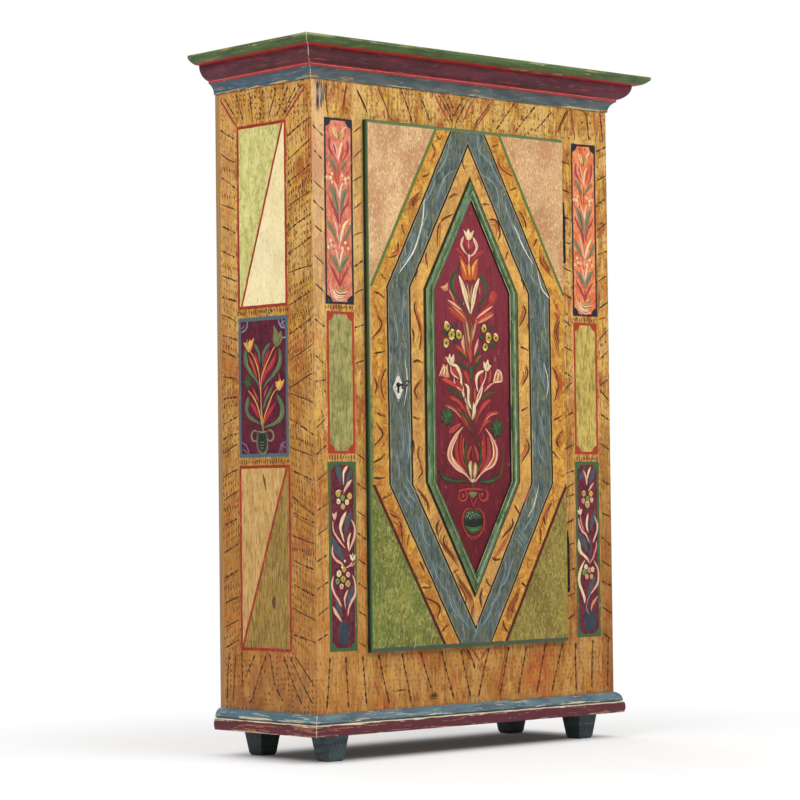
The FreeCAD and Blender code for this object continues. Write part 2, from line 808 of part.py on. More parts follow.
def lock():
    """Lock plate, case, bolt, screws and keeper."""
    plate = block("lock_plate_blank", (lock_left, lock_right), (door_back, lock_front),
                  (lock_low, lock_high))
    keep("lock_plate", cut("lock_plate", plate,
                           keyhole("lock_plate_keyhole", door_back - PAST, lock_front + PAST)
                           + screw_holes("lock_plate")))
    wall = d.lock_wall
    shell = block("lock_case_blank", (lock_left, lock_right), (lock_front, lock_back),
                  (lock_low, lock_high))
    hollow = block("lock_case_hollow", (lock_left + wall, lock_right - wall),
                   (lock_front - PAST, lock_back - wall), (lock_low + wall, lock_high - wall))
    way = bolt_slot("lock_case_slot", (lock_left - PAST, lock_left + wall + PAST), d.bolt_fit)
    bearing = rod("lock_case_bearing", key_x, lock_back + PAST, key_z, d.key_radius + d.key_fit,
                  wall + 2 * PAST, FRONTWARDS)
    keep("lock_case", cut("lock_case", shell, [hollow, way, bearing]
                          + screw_holes("lock_case")))
    bolt_left = lock_left + d.bolt_back
    keep("lock_bolt", block("lock_bolt", (bolt_left, bolt_left + d.bolt_length),
                            (bolt_front, bolt_front + d.bolt_thick),
                            (bolt_mid - d.bolt_height / 2, bolt_mid + d.bolt_height / 2)))
    group = doc.addObject("Part::Compound", "lock_screws")
    group.Links = [fuse(f"lock_screw_{word}", [
        rod(f"lock_screw_{word}_head", x, lock_back + d.pin_head_rise, z, d.screw_head_radius,
            d.pin_head_rise, FRONTWARDS),
        rod(f"lock_screw_{word}_shank", x, lock_back + PAST, z, d.screw_radius,
            screw_length + PAST, FRONTWARDS)]) for word, x, z in SCREWS]
    keep("lock_screws", group)
    keeper_right = -opening_x - d.keeper_off
    keeper_x = (keeper_right - d.keeper_width, keeper_right)
    high = bolt_mid + d.bolt_height / 2 + d.keeper_wall
    low = bolt_mid - d.bolt_height / 2 - d.keeper_wall
    staple = block("keeper_blank", keeper_x,
                   (frame_back_y, bolt_front + d.bolt_thick + d.keeper_wall), (low, high))
    way = bolt_slot("keeper_slot", (keeper_x[0] - PAST, keeper_x[1] + PAST), 2 * d.bolt_fit)
    keep("keeper", cut("keeper", staple, [way]))


def keyhole_plate():
    """The diamond-shaped plate round the keyhole, and its four pins."""
    body = doc.addObject("PartDesign::Body", "keyhole_plate")
    outline = body_sketch(body, "XZ_Plane", "keyhole_plate_outline")
    bind(outline, "AttachmentOffset.Base.z", -door_front)
    middle = key_z - d.plate_drop
    draw(outline, [(key_x - d.plate_half_width, middle), (key_x, middle - d.plate_half_height),
                   (key_x + d.plate_half_width, middle), (key_x, middle + d.plate_half_height)])
    padded(body, outline, d.plate_thick, both_ways=False)
    hole = body_sketch(body, "XZ_Plane", "keyhole_plate_hole")
    foot = key_z - d.keyhole_drop
    half = d.keyhole_slot / 2
    draw(hole, [(key_x + half, key_z), (key_x - half, key_z), (key_x - half, foot),
                (key_x + half, foot)])
    pocketed(body, hole)
    round_hole = rod("keyhole_plate_round", key_x, door_front + PAST, key_z, d.keyhole_radius,
                     d.plate_thick + 2 * PAST, FRONTWARDS)
    keep("keyhole_plate", cut("keyhole_plate_cut", body, [round_hole]))
    near = door_front - d.plate_thick
    across = d.plate_half_width - d.pin_inset
    along = d.plate_half_height - d.pin_inset
    spots = (("left", key_x - across, middle), ("right", key_x + across, middle),
             ("low", key_x, middle - along), ("high", key_x, middle + along))
    group = doc.addObject("Part::Compound", "keyhole_plate_pins")
    group.Links = [rod(f"plate_pin_{word}", x, near, z, d.pin_head_radius, d.pin_head_rise,
                       FRONTWARDS) for word, x, z in spots]
    keep("keyhole_plate_pins", group)


def key():
    """The key, drawn about the origin with its shaft along Y, then put in the lock and tilted."""
    half = d.bow_length / 2
    ring = (d.bow_depth - 2 * d.bow_wire) / 2
    straight = half - d.bow_wire - ring
    bow_y = -d.key_reach - d.bow_depth / 2
    pieces = []
    for word, way in (("high", 1), ("low", -1)):
        torus = doc.addObject("Part::Torus", f"key_bow_{word}")
        bind(torus, "Radius1", ring)
        bind(torus, "Radius2", d.bow_wire)
        torus.Angle3 = 180
        # The half ring is drawn on the +Y side of its own centre, which is turned to point up or down.
        torus.Placement.Rotation = FreeCAD.Rotation(
            FreeCAD.Vector(0, way, 0), FreeCAD.Vector(0, 0, way), FreeCAD.Vector(way, 0, 0), "YZX")
        pieces.append(place(torus, 0, bow_y, straight * way))
        pieces.append(rod(f"key_bow_side_{word}", 0, bow_y + ring * way, -straight,
                          d.bow_wire, 2 * straight))
    tail = lock_back - door_front
    pieces.append(rod("key_shaft", 0, tail, 0, d.key_radius,
                      tail + d.key_reach + d.bow_wire, FRONTWARDS))
    pieces.append(rod("key_collar", 0, -d.plate_thick - d.key_off, 0,
                      d.collar_radius, d.collar_length, FRONTWARDS))
    bit_y = bolt_front - d.bit_back - door_front
    pieces.append(block("key_bit", (-d.bit_thick / 2, d.bit_thick / 2),
                        (bit_y - d.bit_depth, bit_y), (-d.bit_drop, 0)))
    whole = fuse("key", pieces)
    whole.Placement.Rotation = FreeCAD.Rotation(FreeCAD.Vector(0, 1, 0), SIZES["key_tilt"])
    bind(whole, "Placement.Rotation.Angle", d.key_tilt)
    keep("key", place(whole, key_x, door_front, key_z))


carcass()
feet()
front_frame()
cornice()
plinth()
interior()
door_boards()
battens()
hex_moulding()
hinges()
lock()
keyhole_plate()
key()
doc.recompute()

problems = []
for thing in doc.Objects:
    if {"Invalid", "Error"} & set(thing.State):
        problems.append(f"{thing.Name} failed")
for node, thing in nodes.items():
    if thing.Shape.isNull() or not thing.Shape.isValid() or not thing.Shape.Solids:
        problems.append(f"{node} has no valid shape")
if problems:
    raise SystemExit("\n".join(problems))
for node, thing in nodes.items():
    thing.Shape.exportStep(os.path.join("parts", f"{node}.step"))
print(f"{len(nodes)} sub-parts written")
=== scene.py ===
"""A free-standing painted cupboard with one door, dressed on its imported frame."""

from __future__ import annotations

import logging
import math
from dataclasses import dataclass
from enum import Enum

import bmesh
import bpy
import numpy as np
from mathutils import Matrix, Vector


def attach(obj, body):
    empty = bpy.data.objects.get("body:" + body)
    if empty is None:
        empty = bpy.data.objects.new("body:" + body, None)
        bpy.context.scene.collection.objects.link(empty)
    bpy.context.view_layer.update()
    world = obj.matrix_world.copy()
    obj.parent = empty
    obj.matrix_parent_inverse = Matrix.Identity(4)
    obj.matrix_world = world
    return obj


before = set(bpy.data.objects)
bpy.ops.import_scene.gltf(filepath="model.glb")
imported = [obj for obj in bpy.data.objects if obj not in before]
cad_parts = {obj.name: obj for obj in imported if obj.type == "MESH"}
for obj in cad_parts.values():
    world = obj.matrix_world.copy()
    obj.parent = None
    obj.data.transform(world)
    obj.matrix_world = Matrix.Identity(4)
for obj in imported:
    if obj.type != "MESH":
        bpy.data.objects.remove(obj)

log = logging.getLogger("cupboard")

MM = 0.001
# How far under its board's face a place still counts as on it, in millimetres.
SKIN = 0.4
Colour = tuple[float, float, float, float]

PALETTE = {
    "cream": "e8cfa4", "shell": "e2ae98", "rose": "d5877c", "salmon": "d38a66", "straw": "dca750",
    "butter": "dcc48c", "lemon": "b89a3e", "tan": "bd9260", "orange": "c05a28", "coral": "bb4c34",
    "red": "a83634", "brick": "9c3a30", "wine": "7c2a30", "maroon": "a04048", "umber": "4a2d1a",
    "bark": "6b4424", "rust": "a4502a", "ember": "bf6a2e", "ink": "1f2622", "grass": "56753f",
    "moss": "35472c", "leaf": "3c6034", "pine": "28452a", "sage": "887c5c", "fern": "56734f",
    "crimson": "ae2e36", "lilac": "8087a2", "mauve": "846680", "olive": "75764a", "slate": "46545a",
    "mist": "97a8a0", "chalk": "dcd6c6", "sky": "788a92", "smoke": "554e50", "khaki": "7f8b4a",
    "night": "1f2a26", "dusk": "364049",
}


def rgb(code: str) -> Colour:
    """Turn a six-figure colour code, as a screen shows it, into linear red, green, blue and alpha.

    Args:
        code: Two hexadecimal figures each for red, green and blue.

    Returns:
        The linear colour, with alpha 1.
    """
    parts = [int(code[i:i + 2], 16) / 255 for i in (0, 2, 4)]
    linear = [c / 12.92 if c <= 0.04045 else ((c + 0.055) / 1.055) ** 2.4 for c in parts]
    return (*linear, 1.0)


class Value:
    """One number of a shader that varies over the surface. Arithmetic on it adds Math nodes."""

    def __init__(self, shader: Shader, socket: bpy.types.NodeSocket) -> None:
        """Hold one output socket of a shader's tree."""
        self.shader = shader
        self.socket = socket

    def math(self, operation: str, *others: float | Value, first: float | Value | None = None) -> Value:
        """Return a Math node's result.

        Args:
            operation: The node's operation.
            others: What goes into the sockets after the first.
            first: What goes into the first socket, if not this value.

        Returns:
            The node's output.
        """
        sockets = dict(enumerate([self if first is None else first, *others]))
        node = self.shader.node("ShaderNodeMath", {"operation": operation}, sockets)
        return Value(self.shader, node.outputs[0])

    def __add__(self, other: float | Value) -> Value:
        """Return the sum."""
        return self.math("ADD", other)

    __radd__ = __add__

    def __sub__(self, other: float | Value) -> Value:
        """Return the difference."""
        return self.math("SUBTRACT", other)

    def __rsub__(self, other: float) -> Value:
        """Return a number less this value."""
        return self.math("SUBTRACT", self, first=other)

    def __mul__(self, other: float | Value) -> Value:
        """Return the product."""
        return self.math("MULTIPLY", other)

    __rmul__ = __mul__

    def __truediv__(self, other: float | Value) -> Value:
        """Return the quotient."""
        return self.math("DIVIDE", other)

    def __abs__(self) -> Value:
        """Return the size without its sign."""
        return self.math("ABSOLUTE")

    def __gt__(self, other: float | Value) -> Value:
        """Return 1 where this is greater, else 0."""
        return self.math("GREATER_THAN", other)

    def __lt__(self, other: float | Value) -> Value:
        """Return 1 where this is less, else 0."""
        return self.math("LESS_THAN", other)

    def up(self, other: float | Value) -> Value:
        """Return the greater of the two."""
        return self.math("MAXIMUM", other)

    def down(self, other: float | Value) -> Value:
        """Return the lesser of the two."""
        return self.math("MINIMUM", other)

    def sine(self) -> Value:
        """Return the sine."""
        return self.math("SINE")

    def rise(self, low: float, high: float) -> Value:
        """Return 0 below low, 1 above high and a smooth step between them."""
        settings = {"interpolation_type": "SMOOTHSTEP"}
        sockets = {"Value": self, "From Min": low, "From Max": high}
        return Value(self.shader, self.shader.node("ShaderNodeMapRange", settings, sockets).outputs[0])

    def between(self, low: float, high: float, soft: float = 0.6) -> Value:
        """Return 1 from low to high, 0 outside, with edges that fade over twice soft."""
        return self.rise(low - soft, low + soft) * (1 - self.rise(high - soft, high + soft))


@dataclass(frozen=True)
class Cloud:
    """Clouds of one colour, as a shader lays them over another.

    Size, stretch, shift, detail, rough and warp are those of the noise. Edge is the noise at which the
    clouds start and the one at which they are whole, the greater first for clouds where the noise is low.
    Share is how much of them shows, and where is a mask over them.
    """

    colour: object
    size: float
    stretch: float | tuple[float, float, float]
    shift: float
    edge: tuple[float, float]
    share: float = 1.0
    detail: float = 3
    rough: float = 0.55
    warp: float = 0.0
    where: Value | None = None


class Shader:
    """A material in the making. Its x, y and z are millimetres on the piece."""

    def __init__(self, name: str) -> None:
        """Start a material with one principled surface."""
        self.material = bpy.data.materials.new(name)
        self.material.use_nodes = True
        self.tree = self.material.node_tree
        self.surface = self.tree.nodes["Principled BSDF"]
        spot = self.node("ShaderNodeTexCoord").outputs["Object"]
        self.place = self.vector("SCALE", spot, 1 / MM)
        parts = self.node("ShaderNodeSeparateXYZ", {}, {"Vector": self.place})
        self.x, self.y, self.z = (Value(self, socket) for socket in parts.outputs)

    def node(self, kind: str, settings: dict | None = None, sockets: dict | None = None) -> bpy.types.Node:
        """Add a node.

        Args:
            kind: The node's type.
            settings: Its own properties, set first; stops are a colour ramp's (place, code) pairs.
            sockets: What each input gets, by name or number: a number, a colour, or a link.

        Returns:
            The node.
        """
        made = self.tree.nodes.new(kind)
        for name, value in (settings or {}).items():
            if name == "stops":
                while len(made.color_ramp.elements) < len(value):
                    made.color_ramp.elements.new(0.5)
                for element, (place, code) in zip(made.color_ramp.elements, value):
                    element.position = place
                    element.color = rgb(code)
            else:
                setattr(made, name, value)
        for key, value in (sockets or {}).items():
            self.feed(made.inputs[key], value)
        return made

    def feed(self, socket: bpy.types.NodeSocket, value: object) -> None:
        """Link a value to an input, or set the input to a plain number or colour."""
        if isinstance(value, Value):
            value = value.socket
        if isinstance(value, bpy.types.NodeSocket):
            self.tree.links.new(value, socket)
        elif isinstance(value, str):
            socket.default_value = rgb(value)
        else:
            socket.default_value = value

    def vector(self, operation: str, first: object, second: object) -> bpy.types.NodeSocket:
        """Return the result of a Vector Math node; the second is a factor for SCALE."""
        sockets = {0: first, (3 if operation == "SCALE" else 1): second}
        return self.node("ShaderNodeVectorMath", {"operation": operation}, sockets).outputs[0]

    def noise(self, size: float, stretch: float | tuple[float, float, float] = 1, detail: float = 3,
              rough: float = 0.55, warp: float = 0, shift: float = 0) -> Value:
        """Return a cloudy value around one half.

        Args:
            size: The millimetres between one cloud and the next.
            stretch: How much longer the clouds are upright, or along each axis.
            detail: How many finer layers it has.
            rough: How strong the finer layers are.
            warp: How far it is swirled.
            shift: Moves the pattern, so that two noises differ.

        Returns:
            The value, from about 0.25 to 0.75.
        """
        ways = stretch if isinstance(stretch, tuple) else (1, 1, stretch)
        scale = tuple(1 / (size * way) for way in ways)
        spot = self.vector("MULTIPLY", self.place, scale)
        spot = self.vector("ADD", spot, (shift, shift * 1.7, shift * 0.6))
        sockets = {"Vector": spot, "Scale": 1, "Detail": detail, "Roughness": rough, "Distortion": warp}
        return Value(self, self.node("ShaderNodeTexNoise", {}, sockets).outputs[0])

    def mix(self, first: object, second: object, share: float | Value,
            blend: str = "MIX") -> bpy.types.NodeSocket:
        """Return two colours mixed.

        Args:
            first: The colour where share is 0, as a socket or a code.
            second: The colour where share is 1.
            share: How much of the second shows.
            blend: The way in which they blend.

        Returns:
            The mixed colour.
        """
        settings = {"data_type": "RGBA", "blend_type": blend, "clamp_factor": True}
        return self.node("ShaderNodeMix", settings, {0: share, 6: first, 7: second}).outputs[2]

    def tone(self, colour: object, level: Value, spread: float) -> bpy.types.NodeSocket:
        """Return a colour made darker and lighter by a cloudy value, by about spread each way."""
        grey = level * (4 * spread) + (1 - 2 * spread)
        node = self.node("ShaderNodeCombineColor", {}, {channel: grey for channel in range(3)})
        return self.mix(colour, node.outputs[0], 1.0, "MULTIPLY")

    def waver(self, size: float, shift: float, reach: float, detail: float = 3) -> Value:
        """Return a noise about 0, at most reach wide in all, for lines that waver as if drawn by hand."""
        return (self.noise(size, detail=detail, shift=shift) - 0.5) * reach

    def sheen(self, size: float, shift: float, least: float, spread: float = 0.3) -> Value:
        """Return a roughness that differs a little from place to place."""
        return self.noise(size, shift=shift) * spread + least

    def clouds(self, base: object, *clouds: Cloud) -> bpy.types.NodeSocket:
        """Return a colour with clouds of other colours laid over it in order."""
        for cloud in clouds:
            level = self.noise(cloud.size, cloud.stretch, cloud.detail, cloud.rough, cloud.warp,
                               cloud.shift)
            start, whole = cloud.edge
            cover = level.rise(start, whole) if start < whole else 1 - level.rise(whole, start)
            if cloud.share != 1:
                cover = cover * cloud.share
            if cloud.where is not None:
                cover = cover * cloud.where
            base = self.mix(base, cloud.colour, cover)
        return base

    def layers(self, base: object, *coats: tuple[object, Value]) -> bpy.types.NodeSocket:
        """Return a colour with coats laid over it in order, each a colour and the share that shows."""
        for colour, share in coats:
            base = self.mix(base, colour, share)
        return base

    def finish(self, colour: object, rough: float | Value, height: Value | None = None,
               strength: float = 0.25, metal: float | Value = 0.0) -> bpy.types.Material:
        """Wire the surface up.

        Args:
            colour: The base colour.
            rough: The roughness.
            height: What a bump follows, if anything.
            strength: How strong the bump is.
            metal: How metallic the surface is.

        Returns:
            The material.
        """
        self.feed(self.surface.inputs["Base Color"], colour)
        self.feed(self.surface.inputs["Roughness"], rough)
        self.feed(self.surface.inputs["Metallic"], metal)
        self.surface.inputs["Specular IOR Level"].default_value = 0.2 if metal == 0 else 0.5
        if height is not None:
            sockets = {"Height": height, "Strength": strength, "Distance": 0.6 * MM}
            bump = self.node("ShaderNodeBump", {}, sockets)
            self.feed(self.surface.inputs["Normal"], bump.outputs[0])
        return self.material


def add_object(name: str, data: bpy.types.ID | None) -> bpy.types.Object:
    """Return a new object of the scene that holds a mesh, a lamp or a camera."""
    made = bpy.data.objects.new(name, data)
    bpy.context.scene.collection.objects.link(made)
    return made


def named(*starts: str) -> list[str]:
    """Return the names of the CAD nodes that start with any of these words."""
    return [name for name in sorted(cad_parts) if name.startswith(starts)]


def dress(names: list[str], material: bpy.types.Material) -> None:
    """Give CAD nodes their material."""
    for name in names:
        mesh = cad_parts[name].data
        mesh.materials.clear()
        mesh.materials.append(material)
    log.info("%s: %s", material.name, ", ".join(names))


@dataclass(frozen=True)
class Box:
    """Where some CAD pieces start and end along x, y and z, in millimetres."""

    low: tuple[float, float, float]
    high: tuple[float, float, float]

    @classmethod
    def around(cls, *starts: str) -> Box:
        """Measure the pieces whose names start with any of these words."""
        corners = [corner[:] for name in named(*starts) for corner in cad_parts[name].bound_box]
        places = (np.array(corners) / MM).round(3)
        return cls(tuple(places.min(axis=0).tolist()), tuple(places.max(axis=0).tolist()))

    def middle(self, axis: int) -> float:
        """Return the middle along an axis."""
        return (self.low[axis] + self.high[axis]) / 2


BODY = Box.around("side_", "stile_")
DOOR = Box.around("door_board")
MOULDING = Box.around("moulding")
PLATE = Box.around("keyhole_plate")


class Touch(Enum):
    """How the brush is led: the places along the stroke where it is widest, and how full it is."""

    BAND = (1.0, 0.10)
    SWELL = (1.0, 0.45)
    LEAF = (1.0, 0.85)
    COMMA = (0.48, 0.75)
    TAPER = (0.30, 0.60)
    DOTS = (1.0, 0.55)
    DASHES = (1.0, 0.30)
    TICKS = (1.0, 0.40)
    FILL = (1.0, 1.0)

    def width(self, along: np.ndarray) -> np.ndarray:
        """Return the share of full width: the sine of pi times the place to one power, to another."""
        shift, power = self.value
        return np.maximum(np.sin(np.pi * np.clip(along, 0, 1) ** shift), 0) ** power


@dataclass(frozen=True)
class Stroke:
    """One stroke of paint: its colour's name, width in millimetres, touch and turning points."""

    paint: str
    width: float
    touch: Touch
    points: np.ndarray


TOUCHES = {"b": Touch.BAND, "s": Touch.SWELL, "l": Touch.LEAF, "c": Touch.COMMA, "t": Touch.TAPER,
           "d": Touch.DOTS, "h": Touch.DASHES, "v": Touch.TICKS, "f": Touch.FILL}


def strokes(text: str, shift: tuple[float, float] = (0, 0)) -> list[Stroke]:
    """Read a motif. Each line holds a colour, a width, a touch letter and the strokes of that kind.

    Semicolons part the strokes. A stroke is its first point in millimetres, then the step to each next
    one. The letters are b band, s swell, l leaf, c comma, t taper, d dots, h dashes, v upright ticks and
    f filled.

    Args:
        text: The motif.
        shift: Moves all of it.

    Returns:
        Its strokes in painting order.
    """
    made = []
    for line in text.strip().splitlines():
        paint, width, letter, paths = line.split(maxsplit=3)
        for path in paths.split(";"):
            steps = np.array([step.split(",") for step in path.split()], dtype=float)
            made.append(Stroke(paint, float(width), TOUCHES[letter], steps.cumsum(axis=0) + shift))
    return made


def smooth_line(points: np.ndarray, count: int) -> np.ndarray:
    """Return count points along a smooth curve through turning points.

    Each span is the cubic through its two ends that leaves each of them along the line that joins its
    neighbours.
    """
    ends = np.vstack([2 * points[0] - points[1], points, 2 * points[-1] - points[-2]])
    s = np.linspace(0, len(points) - 1, count)
    i = np.minimum(s.astype(int), len(points) - 2)
    t = (s - i)[:, None]
    a, b, c, d = ends[i], ends[i + 1], ends[i + 2], ends[i + 3]
    straight, bent, turned = c - a, 2 * a - 5 * b + 4 * c - d, 3 * b - a - 3 * c + d
    return 0.5 * (2 * b + straight * t + bent * t ** 2 + turned * t ** 3)


def length_of(points: np.ndarray) -> float:
    """Return how long the line through points is."""
    return np.linalg.norm(np.diff(points, axis=0), axis=1).sum()


@dataclass(frozen=True)
class Face:
    """A flat painted face. Place (u, v) on it is corner + u * across + v * Z, in millimetres."""

    corner: tuple[float, float, float]
    across: tuple[float, float, float]
    out: tuple[float, float, float]

    def place(self, u: np.ndarray, v: np.ndarray, height: np.ndarray) -> np.ndarray:
        """Return points in metres at (u, v), standing height millimetres off the face."""
        base = np.array(self.corner) + np.outer(u, self.across) + np.outer(height, self.out)
        base[:, 2] += v
        return base * MM


class Brushwork:
    """All strokes on one face, as one mesh of thin ridges of paint.

    A ridge has five corners across. Sides are their places by its half width, lift is the share of its
    height at each, and crown is added to that: the outer ones are sunk, the middle one bulges. Samples is
    how many points a line has where it is cut into dashes or ticks. Dots rimmed in black are those wider
    than rimmed_from.
    """

    sides = np.array([-1.0, -0.9, 0.0, 0.9, 1.0])
    lift = np.array([0.0, 1.0, 1.0, 1.0, 0.0])
    sunk, bulge = -0.03, 0.004
    crown = np.array([sunk, 0.0, bulge, 0.0, sunk])
    first_height, next_height = 0.10, 0.008
    spacing, fewest, most = 7.0, 6, 34
    samples = 64
    tick_pitch = 8.0
    dash_pitch = 3.4
    rimmed_from = 12.0

    def __init__(self, name: str, face: Face, body: str, slot: str) -> None:
        """Start with no strokes."""
        self.name, self.face, self.body, self.slot = name, face, body, slot
        self.vertices: list[np.ndarray] = []
        self.faces: list[tuple[int, ...]] = []
        self.colours: list[np.ndarray] = []
        self.count = 0

    def add(self, painted: list[Stroke]) -> None:
        """Lay strokes on the face, each a hair above the one before it."""
        for order, stroke in enumerate(painted):
            height = self.first_height + self.next_height * order
            beneath = height - self.next_height / 2
            if stroke.touch is Touch.DASHES:
                under = Stroke("bark", stroke.width * 0.4, Touch.BAND, stroke.points)
                self.ribbon(stroke.points, under, beneath)
            if stroke.touch is Touch.DOTS and stroke.width > self.rimmed_from:
                rim = Stroke("ink", stroke.width * 1.2, Touch.DOTS, stroke.points)
                for run in self.runs(rim):
                    self.ribbon(run, rim, beneath)
            if stroke.touch is Touch.FILL:
                self.patch(stroke, height)
                continue
            for run in self.runs(stroke):
                self.ribbon(run, stroke, height)

    def runs(self, stroke: Stroke) -> list[np.ndarray]:
        """Return the curves that a stroke is made of: one, or one a dot, dash or tick."""
        if stroke.touch is Touch.DOTS:
            tall = stroke.width / 2
            return [np.array([[u, v - tall], [u, v + tall]]) for u, v in stroke.points]
        line = smooth_line(stroke.points, self.samples)
        if stroke.touch is Touch.DASHES:
            pieces = max(2, int(length_of(line) / (self.dash_pitch * stroke.width)))
            return self.dashes(line, pieces, stroke.points[0, 1])
        if stroke.touch is Touch.TICKS:
            pieces = max(2, int(length_of(line) / self.tick_pitch))
            at = np.linspace(0, self.samples - 1, pieces).astype(int)
            tall = 5 + 2.5 * np.sin(at * 1.9)
            return [np.array([[u, v - t], [u + 0.6, v + t]]) for (u, v), t in zip(line[at], tall)]
        return [stroke.points]

    def dashes(self, line: np.ndarray, pieces: int, seed: float) -> list[np.ndarray]:
        """Cut a line into dashes whose places and lengths vary as the sines of their number.

        Args:
            line: Points along the line.
            pieces: How many dashes there are.
            seed: Where the sines start.

        Returns:
            Both ends of each dash.
        """
        turn = np.arange(pieces) * 2.7 + seed
        places = (np.arange(pieces) + 0.5 + 0.22 * np.sin(turn)) / pieces
        halves = (0.27 + 0.15 * np.sin(turn * 1.9)) / pieces
        grid = np.linspace(0, 1, self.samples)
        return [np.stack([np.interp([p - h, p + h], grid, line[:, k]) for k in (0, 1)], 1)
                for p, h in zip(places, halves)]

    def ribbon(self, points: np.ndarray, stroke: Stroke, height: float) -> None:
        """Add one ridge: a five-cornered section carried along the curve, closed at both ends.

        The curve sways by two sines of its place, its width follows the touch and a third sine, and the
        section lies across the curve's direction.

        Args:
            points: The curve's turning points.
            stroke: What is painted.
            height: How far its top stands off the face.
        """
        length = length_of(points)
        count = int(np.clip(length / self.spacing, self.fewest, self.most))
        line = smooth_line(points, count)
        along = np.linspace(0, 1, count)
        seed = points[0, 0] * 0.37 + points[0, 1] * 0.91
        way = np.gradient(line, axis=0)
        way /= np.linalg.norm(way, axis=1)[:, None] + 1e-9
        side = np.stack([-way[:, 1], way[:, 0]], 1)
        sway = min(0.55, length * 0.008) * (np.sin(along * 7 + seed) + 0.5 * np.sin(along * 17 + seed * 2))
        line = line + side * sway[:, None]
        swell = (0.10 + 0.90 * stroke.touch.width(along)) * (1 + 0.12 * np.sin(along * 11 + seed * 3))
        half = (stroke.width / 2 * swell)[:, None] * self.sides
        u, v = (line[:, None, k] + side[:, None, k] * half for k in (0, 1))
        tall = np.broadcast_to(self.lift * height + self.crown, u.shape)
        corners = len(self.sides)
        ring = np.arange(corners)
        after = (ring + 1) % corners
        step = self.count + corners * np.arange(count - 1)[:, None]
        quads = np.stack([step + ring, step + after, step + corners + after, step + corners + ring], 2)
        ends = [tuple(self.count + ring[::-1]), tuple(self.count + corners * (count - 1) + ring)]
        spots = self.face.place(u.ravel(), v.ravel(), tall.ravel())
        self.keep(spots, quads.reshape(-1, 4), ends, stroke.paint)

    def keep(self, spots: np.ndarray, quads: np.ndarray, others: list[tuple[int, ...]],
             paint: str) -> None:
        """Add corners, four-sided faces and other faces in one colour."""
        self.vertices.append(spots)
        self.faces += [tuple(quad) for quad in quads] + others
        self.colours.append(np.tile(rgb(PALETTE[paint]), (len(spots), 1)))
        self.count += len(spots)

    def patch(self, stroke: Stroke, height: float) -> None:
        """Add one filled shape: a smooth closed outline, a ring a little inside it, and two middles.

        The ring is the outline drawn towards the mean of its points by half a millimetre.

        Args:
            stroke: What is painted; its points are the outline's corners.
            height: How far its top stands off the face.
        """
        corners = np.vstack([stroke.points[-1], stroke.points, stroke.points[:2]])
        t = np.linspace(0, 1, 5, endpoint=False)[:, None, None]
        a, b, c, d = corners[:-3], corners[1:-2], corners[2:-1], corners[3:]
        bend = ((c - a) * (1 - t) - (d - b) * t) * 0.3 + (c - b) * (2 * t - 1)
        curve = b + (c - b) * t + t * (1 - t) * bend
        line = curve.transpose(1, 0, 2).reshape(-1, 2)
        count = len(line)
        middle = line.mean(axis=0)
        away = line - middle
        inner = middle + away * (1 - 0.5 / (np.linalg.norm(away, axis=1)[:, None] + 1))
        spots = np.vstack([line, inner, middle, middle])
        middles = [height + self.bulge, self.sunk]
        tall = np.concatenate([np.full(count, self.sunk), np.full(count, height), middles])
        here = self.count + np.arange(count)
        there = self.count + (np.arange(count) + 1) % count
        top, under = self.count + 2 * count, self.count + 2 * count + 1
        quads = np.stack([here, there, count + there, count + here], 1)
        fans = [(count + i, count + j, top) for i, j in zip(here, there)]
        fans += [(j, i, under) for i, j in zip(here, there)]
        self.keep(self.face.place(spots[:, 0], spots[:, 1], tall), quads, fans, stroke.paint)

    def build(self, material: bpy.types.Material) -> bpy.types.Object:
        """Put the strokes into one object that rides with its body."""
        mesh = bpy.data.meshes.new(self.name)
        mesh.from_pydata(np.vstack(self.vertices), [], self.faces)
        paint = mesh.color_attributes.new("paint", "FLOAT_COLOR", "POINT")
        paint.data.foreach_set("color", np.vstack(self.colours).astype(np.float32).ravel())
        work = bmesh.new()
        work.from_mesh(mesh)
        bmesh.ops.recalc_face_normals(work, faces=work.faces)
        work.to_mesh(mesh)
        work.free()
        mesh.shade_smooth()
        mesh.materials.append(material)
        piece = add_object(self.name, mesh)
        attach(piece, self.body)
        log.info("%s: %d faces", self.name, len(self.faces))
        return piece


